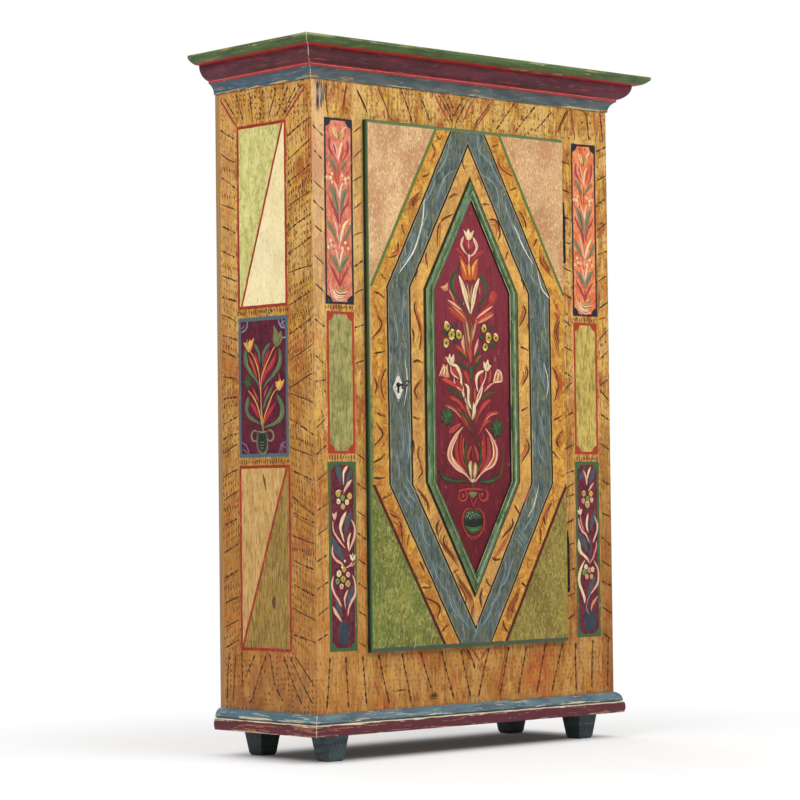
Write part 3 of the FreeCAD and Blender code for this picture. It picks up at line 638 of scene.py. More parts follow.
BOUQUET = """
moss 12 c -48,1250 -26,-32 8,-30 24,-26 28,-34
leaf 5 s -56,1240 -14,-28 8,-26
moss 12 c 24,1240 26,-34 -4,-26 -16,-20 -26,-34
leaf 5 s 38,1228 12,-28 -6,-20
bark 10 s -8,1212 0,-42 -1,-38
tan 6 l -19,1214 6,-26 4,-28
tan 5 l 0,1210 -4,-24 -2,-26
cream 15 l -46,1232 16,-38 23,-64
cream 14 l 25,1228 -16,-38 -16,-60
tan 3 s -36,1216 10,-26 14,-38; 17,1212 -9,-26 -11,-36
orange 1 f -45,1284 9,-12 8,-10 8,-6 8,8 8,-8 8,6 8,8 11,10 -3,-18 -1,-18 -2,-13 -5,-10 -10,3 -10,-5 \
-10,4 -10,-3 -8,10 -2,18 -2,17
coral 9 s -38,1262 3,-18 5,-18
coral 8 s 17,1264 -1,-20 -4,-18
straw 7 l -41,1277 10,-21 11,-24
straw 8 l -11,1270 1,-20 1,-20; 19,1277 -13,-19 -5,-26
brick 3 s -25,1256 6,-14 5,-14; -3,1258 -1,-14 0,-16
red 9 c -62,1302 20,-8 16,-14 12,-18
red 10 c 46,1299 -22,-8 -18,-13 -9,-16
coral 8 c -46,1283 10,-9 12,-12
red 11 l -23,1331 4,-13 6,-16
red 12 l 5,1324 -4,-10 -6,-13
rose 5 s -11,1328 0,-14 0,-14
shell 9 c -27,1335 -11,-21 8,-15 17,-14
shell 10 c 4,1335 14,-23 -8,-18 -19,-14
shell 9 t -10,1290 0,-12 -1,-14
cream 1 f -29,1352 9,-9 8,13 9,-13 12,10 -7,-18 -6,-8 -6,-2 -7,2 -6,9
bark 9 s -8,1136 -2,-32 1,-40
olive 5 s -34,1112 9,-40 7,-48
salmon 8 s -26,1122 9,-38 7,-38
coral 11 s -12,1062 2,-28 1,-32
salmon 8 s 14,1120 -10,-32 -9,-26
olive 6 s -1,1104 -4,-26 -1,-30
rust 17 l -90,1164 34,-15 38,-39
coral 10 l -90,1148 32,-17 36,-23
salmon 6 l -74,1150 24,-12 26,-22
shell 6 s -88,1167 24,-12 26,-13
red 8 l -86,1138 26,-12 30,-16
salmon 1 f -113,1199 15,5 11,8 1,-12 -2,-9 -10,-2
shell 4 s -106,1198 9,2 7,4
salmon 6 s -84,1194 11,-15 9,-16
red 1 f 60,1158 -2,18 8,16 14,4 11,-10 -3,-14 -12,-12
coral 8 s 66,1184 6,-8 6,-8
red 12 l 70,1164 -30,-24 -37,-28
shell 6 s 74,1156 -28,-14 -34,-22
coral 10 l 74,1143 -28,-15 -40,-20
salmon 8 l 76,1136 -26,-14 -34,-14
brick 4 s 70,1148 -28,-16 -32,-20
lemon 24 d -92,1097 16,-20 26,0 -45,-21
lemon 21 d 40,1095 43,-22 -39,-25
lemon 24 d 56,1073
cream 6 s -101,1103 7,6 10,-5
cream 5 s -86,1070 10,-5 10,6; -60,1084 8,4 9,-4; -105,1052 8,-7 9,3; 34,1102 8,3 6,-7; 47,1080 7,4 9,-2
cream 6 s 76,1080 6,3 8,-5
cream 5 s 36,1046 6,-7 8,3; -66,1086 -6,4 -8,-2; 62,1062 -8,-1 -7,5
umber 7 d -88,1098 12,-21 26,0 -45,-22 137,40 15,-22 26,-1 -38,-23
moss 14 d -65,1099 -34,-17 38,-21 128,37 -36,-26
moss 1 f 60,1055 6,5 14,-2 2,-10 -10,-3 -10,2
salmon 12 l -34,1078 -2,-22 8,-28
shell 5 s -36,1072 -1,-16 6,-20
rose 10 l 19,1070 -6,-20 -10,-26
shell 4 s 17,1064 -5,-14 -6,-16
coral 9 l -62,1049 20,-11 20,-18
moss 9 l 24,1038 -10,-8 -12,-16; -60,1034 18,-7 22,-19; -62,1006 24,-7 24,-15
moss 10 l 30,1018 -13,-14 -16,-20
rust 8 l 30,1026 -12,-8 -14,-14
moss 14 s -9,1004 1,-20 -1,-28
leaf 6 s -10,998 1,-18 0,-18
bark 7 s -9,958 0,-38 0,-52
red 1 f -74,988 8,4 9,-11 5,-15 -14,3 -9,9
cream 8 c -79,999 21,-5 12,-20 4,-28 8,-32 18,-28
cream 9 s -64,996 12,-12 6,-18
shell 5 s -80,999 0,-15 10,-12 22,-11
brick 10 l -64,958 14,-8 14,-18
shell 6 s -69,965 3,-17 16,-11 16,-7
shell 5 s -36,944 0,-20 12,-26
cream 9 s -31,951 12,-13 0,-30 10,-24
red 15 l -35,985 11,-13 10,-26
coral 6 l -32,980 8,-10 7,-16
cream 1 f -98,1020 8,-6 6,14 6,-11 9,10 2,-17 -6,-9 -9,-3 -9,7
khaki 4 l -86,1016 2,-6 2,-6
red 12 l 28,978 0,-16 -2,-14
cream 9 c 38,987 -24,-13 -3,-26 4,-18
shell 5 s 45,986 -2,-20 -19,-30 -16,-30 -5,-22
cream 6 s 34,944 -10,-24 -16,-22 -4,-14
coral 9 l 6,940 -2,-16 -2,-20
coral 8 s 62,990 -2,-20 -5,-18
cream 1 f 37,1011 6,-8 10,13 4,-13 8,-3 -5,-9 -9,-7 -9,3 -5,10
khaki 4 l 52,1006 -1,-7 -1,-7
salmon 1 f -106,1001 7,-7 8,7 1,-16 5,-18 -15,-2 -12,4 -11,-1 7,16
cream 4 s -122,969 10,15 11,12; -103,994 -1,-12 -2,-14; -95,996 0,-14 1,-15
orange 4 s -112,978 3,6 5,6; -98,990 0,-10 -1,-10
salmon 1 f 84,989 13,-5 8,-23 -17,-5 -17,-1 7,15
cream 4.5 s 84,990 14,-6 7,-24; 71,956 17,1 17,3; 84,989 -6,-17 -7,-16
cream 3.5 s 92,982 -4,-12 -2,-10
rust 3.5 s 98,976 -4,-8 0,-8; 84,978 -2,-8 -3,-8
rust 5 l -104,1004 2,8 1,8
coral 13 l -114,962 24,-7 30,-13
red 6 c -74,950 20,-6 16,-16
moss 10 d -88,936
moss 9 l -86,932 26,-9 28,-17
bark 11 l 84,931 -28,-6 -34,-17
moss 6 l 80,929 -26,-7 -28,-13
moss 3 v -92,938 32,-9 26,-16; 84,935 -30,-7 -26,-14
rose 6 s 75,955 -17,-7 -22,-19
red 10 c -88,917 30,-11 22,-20 24,-48
coral 5 s -80,914 24,-11 20,-21
red 9 c -106,894 36,-10 26,-24 22,-26
rose 4 s -100,892 30,-11 24,-21
rust 6 s -60,888 26,-26 20,-34
red 11 c 62,910 -24,-12 -20,-24 -14,-28
coral 6 s 56,906 -20,-13 -16,-17
red 10 c 92,877 -36,-5 -20,-20 -20,-32
salmon 4 s 86,876 -28,-7 -18,-17
rust 6 c 60,856 -22,-10 -26,-30
bark 5 s -30,880 10,-18 10,-24; 14,888 -6,-22 -8,-26
tan 8 c -28,896 10,-18 10,-20
cream 8 c 0,903 -1,-23 -6,-24
shell 5 s 6,892 -2,-16 -6,-18
moss 8 l -50,880 16,-12 18,-18
moss 8 s -26,858 12,-16 6,-26
pine 34 d -95,862 177,-28
moss 16 s -116,880 12,-8 10,-10; -96,892 2,-14 -1,-16; -78,884 -6,-10 -10,-12; -72,866 -12,-2 -12,-4
moss 15 s -80,846 -6,8 -9,8; -104,840 4,12 5,10; -120,858 12,2 13,2
leaf 7 s -112,876 8,-6 7,-6; -92,886 0,-10 -2,-10; -80,874 -6,-6 -7,-5
leaf 6 s -100,848 2,6 3,6
grass 4 s -106,868 6,-3 5,-3
moss 16 s 64,852 10,-8 9,-10; 82,862 0,-14 1,-14; 102,854 -10,-10 -9,-10; 106,832 -12,2 -12,0
moss 15 s 96,814 -6,10 -7,10; 74,812 4,12 5,10; 60,832 10,2 12,0
leaf 7 s 68,848 8,-6 6,-6; 84,856 0,-10 -1,-8; 98,848 -8,-6 -6,-6
leaf 6 s 80,818 2,8 1,6
grass 4 s 74,836 4,-1 5,-1
coral 1 f -91,824 11,12 16,7 18,6 -8,-11 -12,-10 -14,-7
red 5 s -84,828 16,9 16,7
brick 12 s -58,812 -6,-36 14,-38 24,-24
brick 11 s 46,812 6,-34 -12,-36 -24,-26
red 8 s -62,806 -5,-30 11,-32 22,-22; -46,820 -4,-38 8,-34 16,-26
coral 6 s -38,812 -3,-28 5,-32
red 8 s 33,820 3,-38 -6,-34 -16,-26
maroon 9 s 48,812 9,-34 -9,-32 -24,-24
coral 5 s 28,806 2,-26 -6,-28
salmon 12 s -50,830 -26,-32 -8,-30 18,-26 30,-20
orange 13 s 48,826 20,-30 6,-30 -14,-26 -36,-18
shell 7 s -40,838 -28,-22 -22,-32 -2,-26 26,-26 32,-16 26,-24
shell 7 s 40,834 22,-22 17,-28 0,-28 -15,-20 -34,-14 -32,-28
cream 4 s -58,818 -18,-28 -6,-26 16,-24 22,-14; 56,812 10,-22 2,-26 -16,-24 -22,-14
moss 8 s -24,808 -10,-32 2,-32 14,-36; 12,808 10,-30 -3,-32 -15,-38
bark 4 s -28,796 -2,-28 4,-30
rust 6 s -9,790 -13,-20 -1,-22
coral 7 s -2,790 12,-22 1,-20
wine 8 s -6,782 -1,-16 0,-16
tan 1 f -23,738 7,13 6,-3 1,-23 -2,-25 -7,12
cream 6 l -18,746 1,-16 4,-22
tan 1 f 2,747 7,-11 -1,-16 -9,-20 -5,14 2,22
cream 5 l 3,742 -1,-14 -4,-20
shell 8 l -14,704 7,-6 7,6
moss 9 c -122,720 14,-16 30,-6 34,0 32,-4
leaf 6 s -112,712 14,-9 22,-3
bark 7 s 104,776 -3,-34 -11,-30 -26,-13
moss 9 s 88,706 -32,-9 -48,-2
leaf 5 s 72,699 -18,-2 -18,-1
moss 3 v -124,724 20,-15 26,-6 38,0; 105,778 -3,-32 -12,-29; 88,712 -32,-8 -36,-2
moss 10 l -8,692 0,-6 0,-8
red 7 b -58,668 10,7 40,2 40,-3
red 7 s -54,668 -3,-12 11,-10 14,4 3,14 -11,9
red 8 s 16,668 2,-16 12,-7 13,7 2,14 -13,9
brick 13 d -43,660 68,2
olive 1 f -23,667 15,4 17,-3 -6,-9 -10,-5 -11,5
brick 4 s -19,657 7,-15 5,-14; 7,657 -8,-15 -6,-14
brick 6 s -6,628 -28,-6 -12,-22 4,-24 18,-22 17,-10; -6,628 26,-6 11,-20 -3,-26 -18,-22 -17,-10
wine 9 s -24,560 17,-10 17,10
moss 1 f -40,582 -1,22 8,14 19,7 18,-2 14,-7 6,-14 -1,-20 -31,-3
ink 1 f -41,583 0,17 33,1 32,-1 -1,-18 -31,-3
leaf 1 f -39,582 31,-4 30,4 -8,-12 -14,-7 -10,-2 -14,6
grass 7 l -26,574 18,-4 20,4
chalk 2.6 d -26,610 8,4 8,2 -12,-13 8,4 8,3 8,2 -20,-12 -12,6 40,2 -12,-4 -22,12
"""

SCROLLS = """
bark 6 c -138,1573 11,-28 -16,-22; -120,1590 8,-7 9,-3; -173,1480 15,4 16,8
umber 6 c -206,1400 3,16 19,14; -245,1357 4,-17 8,-15; -256,1310 -9,-35 -30,-10; -318,1225 8,-9 10,-6
bark 6 c -85,1428 25,14 18,-2
umber 5.6 s -62,1392 -38,-17 -18,-25 -5,-50
umber 6 c -162,1288 0,-22 7,-21; -190,1240 -7,-12 -3,-16
bark 5.4 s -25,1540 -4,-16 9,-19
bark 6 c 78,1575 12,5 13,4
bark 5.4 s 102,1555 2,-25 24,-18 27,-10
bark 6 c 140,1465 16,5 14,5
umber 5.6 s 172,1415 23,-27 3,-23
umber 6 c 240,1343 -8,-13 -7,-10
umber 5.6 s 265,1300 1,-20 22,-20
bark 6 c 25,1495 8,-11 5,-14; 42,1420 12,4 14,-2
umber 5.6 s 62,1383 28,-1 14,-30 -9,-24
umber 6 c 132,1305 -7,-15 -5,-13; 178,1235 8,-15 4,-17
ember 4 s -134,1570 13,-24 -15,-20; -202,1398 6,14 14,11; -250,1306 -8,-25 -30,-11
ember 4.5 s -104,1384 -8,-34 -4,-46
ember 4 s 96,1556 1,-28 25,-20
ember 4.5 s 168,1412 20,-26 4,-20; 70,1376 16,0 12,-24
ember 4 s 260,1298 0,-18 20,-18
umber 6 c -340,1178 18,-6 17,-12
umber 5.6 s -332,1120 14,-27 -34,-38
umber 6 c -345,1022 19,2 21,4
umber 5.6 s -345,963 10,-23 -8,-22; -305,985 -17,-40 12,-40
umber 6 c -338,873 16,-7 16,-3
umber 5.6 s -340,846 22,-28 -32,-33
umber 6 c -352,745 26,11 18,14; -350,708 20,-2 20,4
ember 4 s -326,1118 14,-25 -32,-39; -334,843 22,-25 -30,-34
ember 4.5 s -312,984 -16,-39 10,-39
umber 5.6 s -200,1160 -4,-20 21,-60 -7,-47
umber 6 c -215,1090 8,-20 -5,-20; -212,1002 17,6 17,-8
umber 5.6 s -183,960 -23,-30 10,-25
umber 6 c -215,862 13,-2 12,-5; -215,805 3,-20 -1,-20
umber 5.6 s -190,790 -8,-22 14,-43 -14,-20
ember 4 s -194,1160 -3,-20 20,-60 -7,-44; -177,958 -22,-28 10,-24
umber 5.6 s 185,1165 8,-22 -23,-40
umber 6 c 172,1053 16,-5 15,-6
umber 5.6 s 193,1003 5,-23 -25,-37
umber 6 c 172,883 14,5 12,5
umber 5.6 s 190,812 9,-30 -31,-40
bark 4 c 200,1115 3,-13 2,-12
ember 4 s 179,1163 8,-21 -21,-36; 186,1000 5,-20 -23,-32; 184,810 8,-28 -26,-32
umber 5.6 s 322,1128 -13,-33 9,-32; 290,1003 23,-43 -16,-50
coral 9 l 298,1000 24,-40 -18,-48
umber 6 c 293,860 19,6 16,9
umber 5.6 s 330,835 -27,-30 15,-25
bark 6 c 285,780 15,-15 13,-13
coral 12 l 304,1172 6,-8 6,-8; 304,1146 6,-6 8,-6
ember 4.5 s 324,832 -26,-27 12,-25
bark 6 c -322,655 16,5 18,10
umber 5.6 s -298,618 36,-23 7,-55
bark 6 c -232,565 -3,-15 -5,-15
umber 6 c -198,495 11,-15 7,-15
bark 6 c -220,470 9,-12 11,-8
umber 6 c -190,428 18,-2 17,2
umber 5.6 s -180,403 50,-26 -10,-37
umber 6 c -122,312 12,10 13,8
ember 4 s -294,611 38,-19 7,-50; -176,396 40,-20 -10,-34
umber 5.6 s -203,680 31,-30 7,-30; -125,600 -13,-20 6,-20; -108,562 -4,-24 44,-46
bark 6 c -80,462 10,5 10,3
umber 5.6 s -65,435 27,-33 0,-22
bark 6 c -10,378 -4,-14 -4,-14
ember 4 s -102,560 -3,-22 43,-44; -60,433 28,-31 0,-22
maroon 6 s 200,680 -8,-20 -12,-20
umber 6 c 143,635 11,-15 11,-15
umber 5.6 s 135,600 -2,-22 -38,-31
umber 6 c 58,500 14,-9 23,4
bark 6 c 36,446 8,-16 16,-8
umber 5.6 s 24,420 -10,-24 6,-28
ember 4.5 s 120,560 -24,-38 -32,-24
umber 5.6 s 283,640 -30,-38 4,-24
umber 6 c 235,575 5,-23 -5,-22; 165,430 13,-8 12,-4
umber 5.6 s 155,398 -25,-31 3,-17; 97,335 1,-17 17,-18
ember 4 s 276,638 -29,-36 3,-24; 148,396 -24,-29 2,-17
"""

STREAKS = """
mist 2.2 s -72,1590 -18,-60 -32,-40
mist 1.9 s -60,1505 -35,-25 -30,-60
chalk 5 s -165,1425 -5,-45 -15,-50 -25,-50 -48,-55
mist 1.9 s -126,1478 -20,-38 -32,-38; -150,1400 -30,-58 -10,-32; -200,1330 -22,-54 -24,-26
mist 2.2 s 25,1600 5,-35 50,-40; 30,1505 60,-35 15,-80
mist 1.9 s 60,1560 32,-60 38,-38; 120,1440 30,-68 40,-32
chalk 4 s 152,1380 34,-60 40,-48
mist 1.9 s 190,1300 25,-60 35,-28
chalk 4 s 240,1260 15,-50 30,-25
mist 2.2 s 245,1100 30,-50; 268,1180 -6,-50 8,-44
mist 1.9 s 240,1040 6,-60 24,-40
chalk 3 s 262,1010 12,-50 -6,-45
mist 2.2 s 240,880 10,-40 10,-40
mist 1.9 s 228,820 12,-50 30,-35
mist 2.2 s -285,1155 20,-75 -3,-40
mist 1.9 s -238,1178 -8,-58 6,-50; -276,1020 18,-60 -4,-60
chalk 3 s -240,1010 8,-60 -12,-60
mist 1.9 s -262,880 16,-60 -4,-60
mist 2.2 s -232,850 6,-50 -10,-58
mist 1.9 s -278,780 16,-50 -4,-30
mist 2.8 s -250,695 20,-27 25,-23
mist 2.2 s -258,672 20,-22 22,-22
mist 1.9 s -240,712 16,-22 34,-35
mist 2.2 s -190,610 4,-20 6,-20
mist 1.9 s -212,618 34,-66 18,-22
mist 2.2 s -140,490 16,-16 14,-9
mist 1.9 s -160,500 32,-60 32,-30; -110,430 26,-58 32,-32; -86,404 30,-54 36,-38
mist 2.2 s 160,570 15,-15 15,-15; 152,560 16,-14 14,-16; 146,548 14,-12 14,-16
mist 1.9 s 226,660 -22,-60 -34,-40
chalk 3 s 236,690 -22,-58 -22,-32
mist 1.9 s 140,500 -30,-60 -18,-20; 104,452 -30,-60 -22,-20; 70,396 -24,-46 -30,-32; -2,352 6,-32 -10,-30
"""


TULIP_POST = """
tan 1 f -459,1590 11,-10 8,-8 8,8 13,10 -3,-18 -8,-12 -10,-3 -10,3 -7,14
butter 5 s -458,1590 4,-17 12,-13
butter 4 s -454,1588 7,-11 5,-14
butter 6 s -413,1592 -10,-7 -8,-13
straw 6 s -424,1583 0,-13 -8,-10
rust 4 s -440,1572 1,-9 -1,-9
maroon 8 c -469,1563 -2,-25 11,-18 17,-17; -411,1561 2,-23 -6,-20 -12,-14
rose 5 s -462,1556 -2,-18 10,-18
maroon 5 s -457,1548 7,-18 6,-16
coral 8 l -424,1544 -2,-18 -8,-20
sage 15 l -476,1516 16,-18 16,-26
sage 12 l -407,1508 -16,-13 -14,-21
coral 6 s -459,1486 8,-20 5,-22
smoke 2.6 s -467,1504 10,-14 10,-14
smoke 2.4 s -413,1502 -10,-11 -9,-11
shell 5.5 s -454,1551 8,-21 6,-30
cream 5.5 s -426,1552 -9,-18 -5,-34
coral 5 s -440,1500 0,-30 0,-30
butter 9 d -462,1470 -17,-10 17,-11 34,18 21,-4 -9,-14
cream 11 d -467,1459 49,0
rust 4 d -472,1468 16,-7 32,-7 13,2
sage 17 l -473,1442 17,-24 15,-56
sage 16 l -408,1438 -17,-22 -12,-54
fern 4 s -463,1434 10,-26 8,-28
smoke 2.8 s -456,1430 7,-26 6,-28; -417,1430 -10,-26 -8,-24
shell 6 s -455,1453 9,-21 8,-24
cream 5.5 s -426,1451 -9,-21 -3,-28
maroon 7 s -475,1417 14,-27 12,-16 10,-31; -405,1413 -10,-19 -14,-16 -8,-28
maroon 4 s -458,1384 9,-22 7,-22; -424,1382 -8,-20 -4,-16
sage 14 l -480,1354 13,-20 21,-34
sage 13 l -402,1346 -8,-22 -16,-24
coral 5 s -450,1346 4,-16 4,-18
fern 3.5 s -474,1346 11,-16 12,-20; -405,1338 -8,-16 -11,-16
shell 7 s -461,1360 12,-24 8,-38
cream 8.5 s -411,1357 -16,-23 -12,-40
shell 4 s -440,1298 0,-10 0,-12
cream 9 d -468,1302 -8,-18 56,14 -10,-14
butter 9 d -466,1290 55,-6
shell 10 d -455,1288
rust 5 d -460,1281 -1,16 48,-3 -7,-10
sage 16 l -472,1268 16,-16 15,-30; -406,1270 -18,-18 -14,-32
fern 4 l -424,1256 -5,-10 -7,-14
smoke 2.8 s -464,1262 9,-14 9,-14
smoke 2.6 s -412,1264 -12,-16 -9,-16
shell 6.5 s -453,1283 7,-21 6,-26
cream 6 s -427,1285 -7,-19 -5,-26
maroon 8 s -474,1243 16,-23 10,-16 8,-20
maroon 7 s -407,1239 -16,-19 -10,-16 -5,-16
coral 5 s -440,1222 0,-16 0,-16
khaki 3 s -444,1182 18,2 18,10
tan 3.5 s -452,1180 16,-5 20,6
cream 3.5 s -458,1182 10,-10 16,-1 20,6
umber 2.5 s -456,1177 10,-9 14,-1 16,4
cream 4 s -462,1180 10,-13 14,-3 18,4
cream 4.5 s -468,1186 9,-18 15,-9 20,3
shell 6 s -473,1196 4,-24 14,-14 16,-6 23,6
"""

VINE_LEFT = """
slate 18 l -462,748 12,-24 6,-34
slate 14 l -404,730 -12,-18 -10,-22
slate 16 l -411,624 -11,-24 -10,-34
slate 20 l -475,562 17,-32 22,-30
slate 15 l -406,438 -11,-26 -13,-26
slate 14 l -464,402 10,-18 12,-22
dusk 1 f -438,352 14,-8 6,-22 -6,-24 -14,-8 -14,8 -6,24 6,22
cream 8 c -421,739 -13,-19 -1,-30
shell 10 l -407,703 -15,-13 -14,-22
shell 1 f -473,621 6,-4 8,7 0,-12 -7,-10 -5,9
shell 5 s -472,602 2,-22 13,-21 15,-17 11,-10
cream 10 c -427,624 -14,-22 -5,-20 5,-18 6,-17
shell 7 s -411,603 11,-17 0,-26 -10,-19 -9,-17
cream 7 s -413,571 -8,-21 1,-26
shell 6.5 s -472,542 -1,-24 11,-15 15,-7 12,-8
cream 1 f -417,517 7,-5 3,8 3,-8 7,5 -2,-13 -8,-4 -7,5
night 3 s -408,515 1,-5 0,-4
cream 7 d -433,500
shell 4.5 s -408,499 -6,-9 -10,-5 -10,-2
rose 4 s -399,499 -8,-10 -17,-3
lemon 18 d -453,668
straw 18 d -415,662
khaki 16 d -438,658
cream 15 d -452,649 28,-2
tan 17 d -438,636
cream 3 s -462,672 10,5 12,-3
rose 5 d -452,649 28,-2
tan 6 d -453,668 38,-6
lemon 16 d -436,479
cream 18 d -453,469
shell 15 d -423,466 -22,-29
lemon 18 d -439,455
khaki 16 d -458,450
tan 19 d -424,443
cream 8 d -442,485
tan 5 d -453,469 17,10
maroon 5 d -423,466 -22,-29
umber 4 d -439,455 -19,-5 34,-7
shell 7 s -471,465 -5,-25 7,-20 13,-17 12,-17; -409,464 9,-20 0,-28 -11,-17 -10,-15 -5,-22
shell 7 c -424,429 -9,-17 -2,-13 3,-20
shell 10 l -475,388 12,-17 18,-23
"""

VINE_RIGHT = """
slate 16 l 404,700 12,12 12,22; 470,732 -14,-20 -10,-24
slate 15 l 470,622 -12,-28 -14,-28
slate 20 l 402,560 16,-26 18,-30
slate 6 s 446,548 1,-28 -3,-34
slate 16 l 462,440 -16,-28 -10,-32
dusk 1 f 440,350 18,-6 6,-24 -8,-24 -16,-6 -18,6 -6,24 8,24
shell 7 s 422,726 8,-14 5,-14 -1,-14
cream 7 s 451,736 -9,-17 -6,-19
shell 6 s 463,692 -12,-11 -11,-13
tan 18 d 423,663
straw 17 d 450,662
khaki 16 d 438,649
rose 17 d 421,643
shell 15 d 453,645
tan 20 d 436,632
cream 4 s 429,638 7,3 8,-4
umber 4 d 423,663 27,-1 -12,-13
rose 5 d 453,645
cream 1 f 397,618 7,-1 1,10 5,-9 6,4 -2,-12 -5,-5 -7,3
straw 4 d 407,614
rose 5 s 411,607 -2,-13 6,-19 9,-13
shell 6.5 s 401,597 3,-19 11,-16 15,-11 12,-23
cream 8 s 438,609 -4,-17 -1,-17 5,-19
shell 7 s 462,601 11,-19 1,-18 -12,-22 -7,-13
cream 11 c 401,541 1,-23 6,-14 14,-9 13,-10 5,-11
rose 6 s 469,534 -1,-18 -7,-14 -5,-14 -17,-16
cream 16 d 427,464
tan 17 d 440,455
shell 16 d 453,457
khaki 18 d 421,450
rose 16 d 430,438
tan 16 d 448,438
tan 5 d 427,464 26,-7
umber 4 d 440,455 -19,-5
cream 10 s 424,483 -16,-21 -8,-24 2,-20 10,-18 8,-19 0,-15
shell 7 s 459,481 12,-17 4,-20 -2,-22 -14,-18 -17,-16
sky 4 s 444,390 -13,-17 -4,-22 11,-14
salmon 9 l 474,386 -15,-13 -10,-13 -4,-16
"""

SIDE_BOUQUET = """
fern 13 c -14,1038 -3,-30 10,-21 21,-19 22,-15 16,-16; 121,1040 2,-28 -10,-18 -17,-18 -18,-18 -10,-17
fern 10 c 21,1051 22,-15 9,-22 0,-22; 85,1052 -17,-24 -6,-28
fern 15 c -3,921 -20,-33 7,-28 26,-13 42,-9
fern 13 c 112,919 8,-31 -12,-20 -24,-12 -22,-10
fern 9 l 10,948 18,-25 16,-17 8,-22
khaki 4 s -14,1024 2,-24 16,-22; -18,880 6,-18 20,-12; 117,1020 -5,-24 -14,-16
crimson 15 l -4,1032 19,-32 24,-19 17,-31
crimson 10 l 25,1036 15,-22 12,-36
crimson 9 l 86,1034 -10,-22 -11,-26
coral 10 l 110,1027 -17,-29 -18,-34
crimson 14 l 2,901 21,-20 19,-20 10,-14
crimson 13 l 106,905 -18,-17 -20,-25
coral 6 l 31,945 11,-15 8,-16
coral 7 l 95,942 -13,-20 -12,-18
coral 4 s 4,1020 16,-24 22,-22
brick 5 s 58,990 0,-20 2,-30
tan 5.5 s 61,945 0,-49 -4,-34 -4,-36
straw 4 s 1,1045 18,-19 23,-33 14,-27 5,-36; 104,1036 -16,-17 -15,-30 -7,-27 -5,-42
straw 4.4 s -5,935 17,-12 19,-27 15,-27 10,-31; 113,936 -20,-17 -16,-23 -11,-23 -10,-35
khaki 6 l 54,862 0,-20 -2,-18
olive 1 f -28,1063 8,18 7,-12 6,11 14,16 2,-20 3,-18 -8,-13 -10,-4 -11,6
khaki 4 s -16,1072 6,-12 4,-12; 3,1084 -1,-18 -5,-16
moss 3 s -22,1066 8,-8 6,-10
mist 3 s -44,1064 10,-1 10,-1
straw 1 f 87,1068 10,-10 5,7 6,-8 6,10 5,-11 11,2 -9,-14 -11,-12 -11,4 -8,12
coral 4 s 86,1068 6,-20 12,-14
red 5 s 112,1070 0,-12 -4,-12
cream 5 l 104,1062 2,-10 2,-12
straw 1 f -33,958 11,-5 8,10 6,-10 11,0 -3,-13 -8,-9 -10,1 -9,10
red 7 l -9,976 -4,-10 1,-14
coral 4 s -33,958 5,-14 10,-10
cream 6 l -12,954 2,-10 0,-8
moss 1 f 95,967 9,-5 4,13 7,-9 9,13 1,-16 9,-6 -11,-11 -11,-5 -10,5
leaf 5 l 106,968 4,-10 2,-10; 122,968 -4,-10 -4,-10
moss 1 f 38,826 -2,-22 3,-22 17,-10 17,10 5,21 -3,24 -19,2
night 1 f 44,822 -2,-20 4,-18 10,-6 12,6 4,18 -3,20 -13,2
sage 4 s 39,828 -4,-25 4,-22 17,-9 17,9 6,22 -4,25
sage 4 b 36,829 20,-2 22,3
sage 6.5 s 36,826 -12,6 -11,-8 -1,-13 12,-7 13,6; 76,826 12,6 11,-8 1,-13 -12,-7 -11,6
night 9 d 25,817 62,1
sage 2 s 46,804 10,-3 10,3; 47,796 9,-3 9,3; 49,788 7,-2 7,2
mauve 4.5 s -42,803 22,-9 11,-26
mauve 3.5 s -40,784 14,6 14,6; -24,770 2,16 -8,14
mauve 4.5 s 141,803 -22,-11 -10,-24
mauve 3.5 s 138,786 -14,-6 -8,-8
lilac 6 s -42,1086 22,6 9,22
lilac 4 s -38,1106 12,-6 8,-4; -26,1112 -2,-12 -10,-10
lilac 5.5 s 141,1084 -19,4 -9,12 1,14
mauve 3.5 s 122,1104 8,-8 10,-2
"""

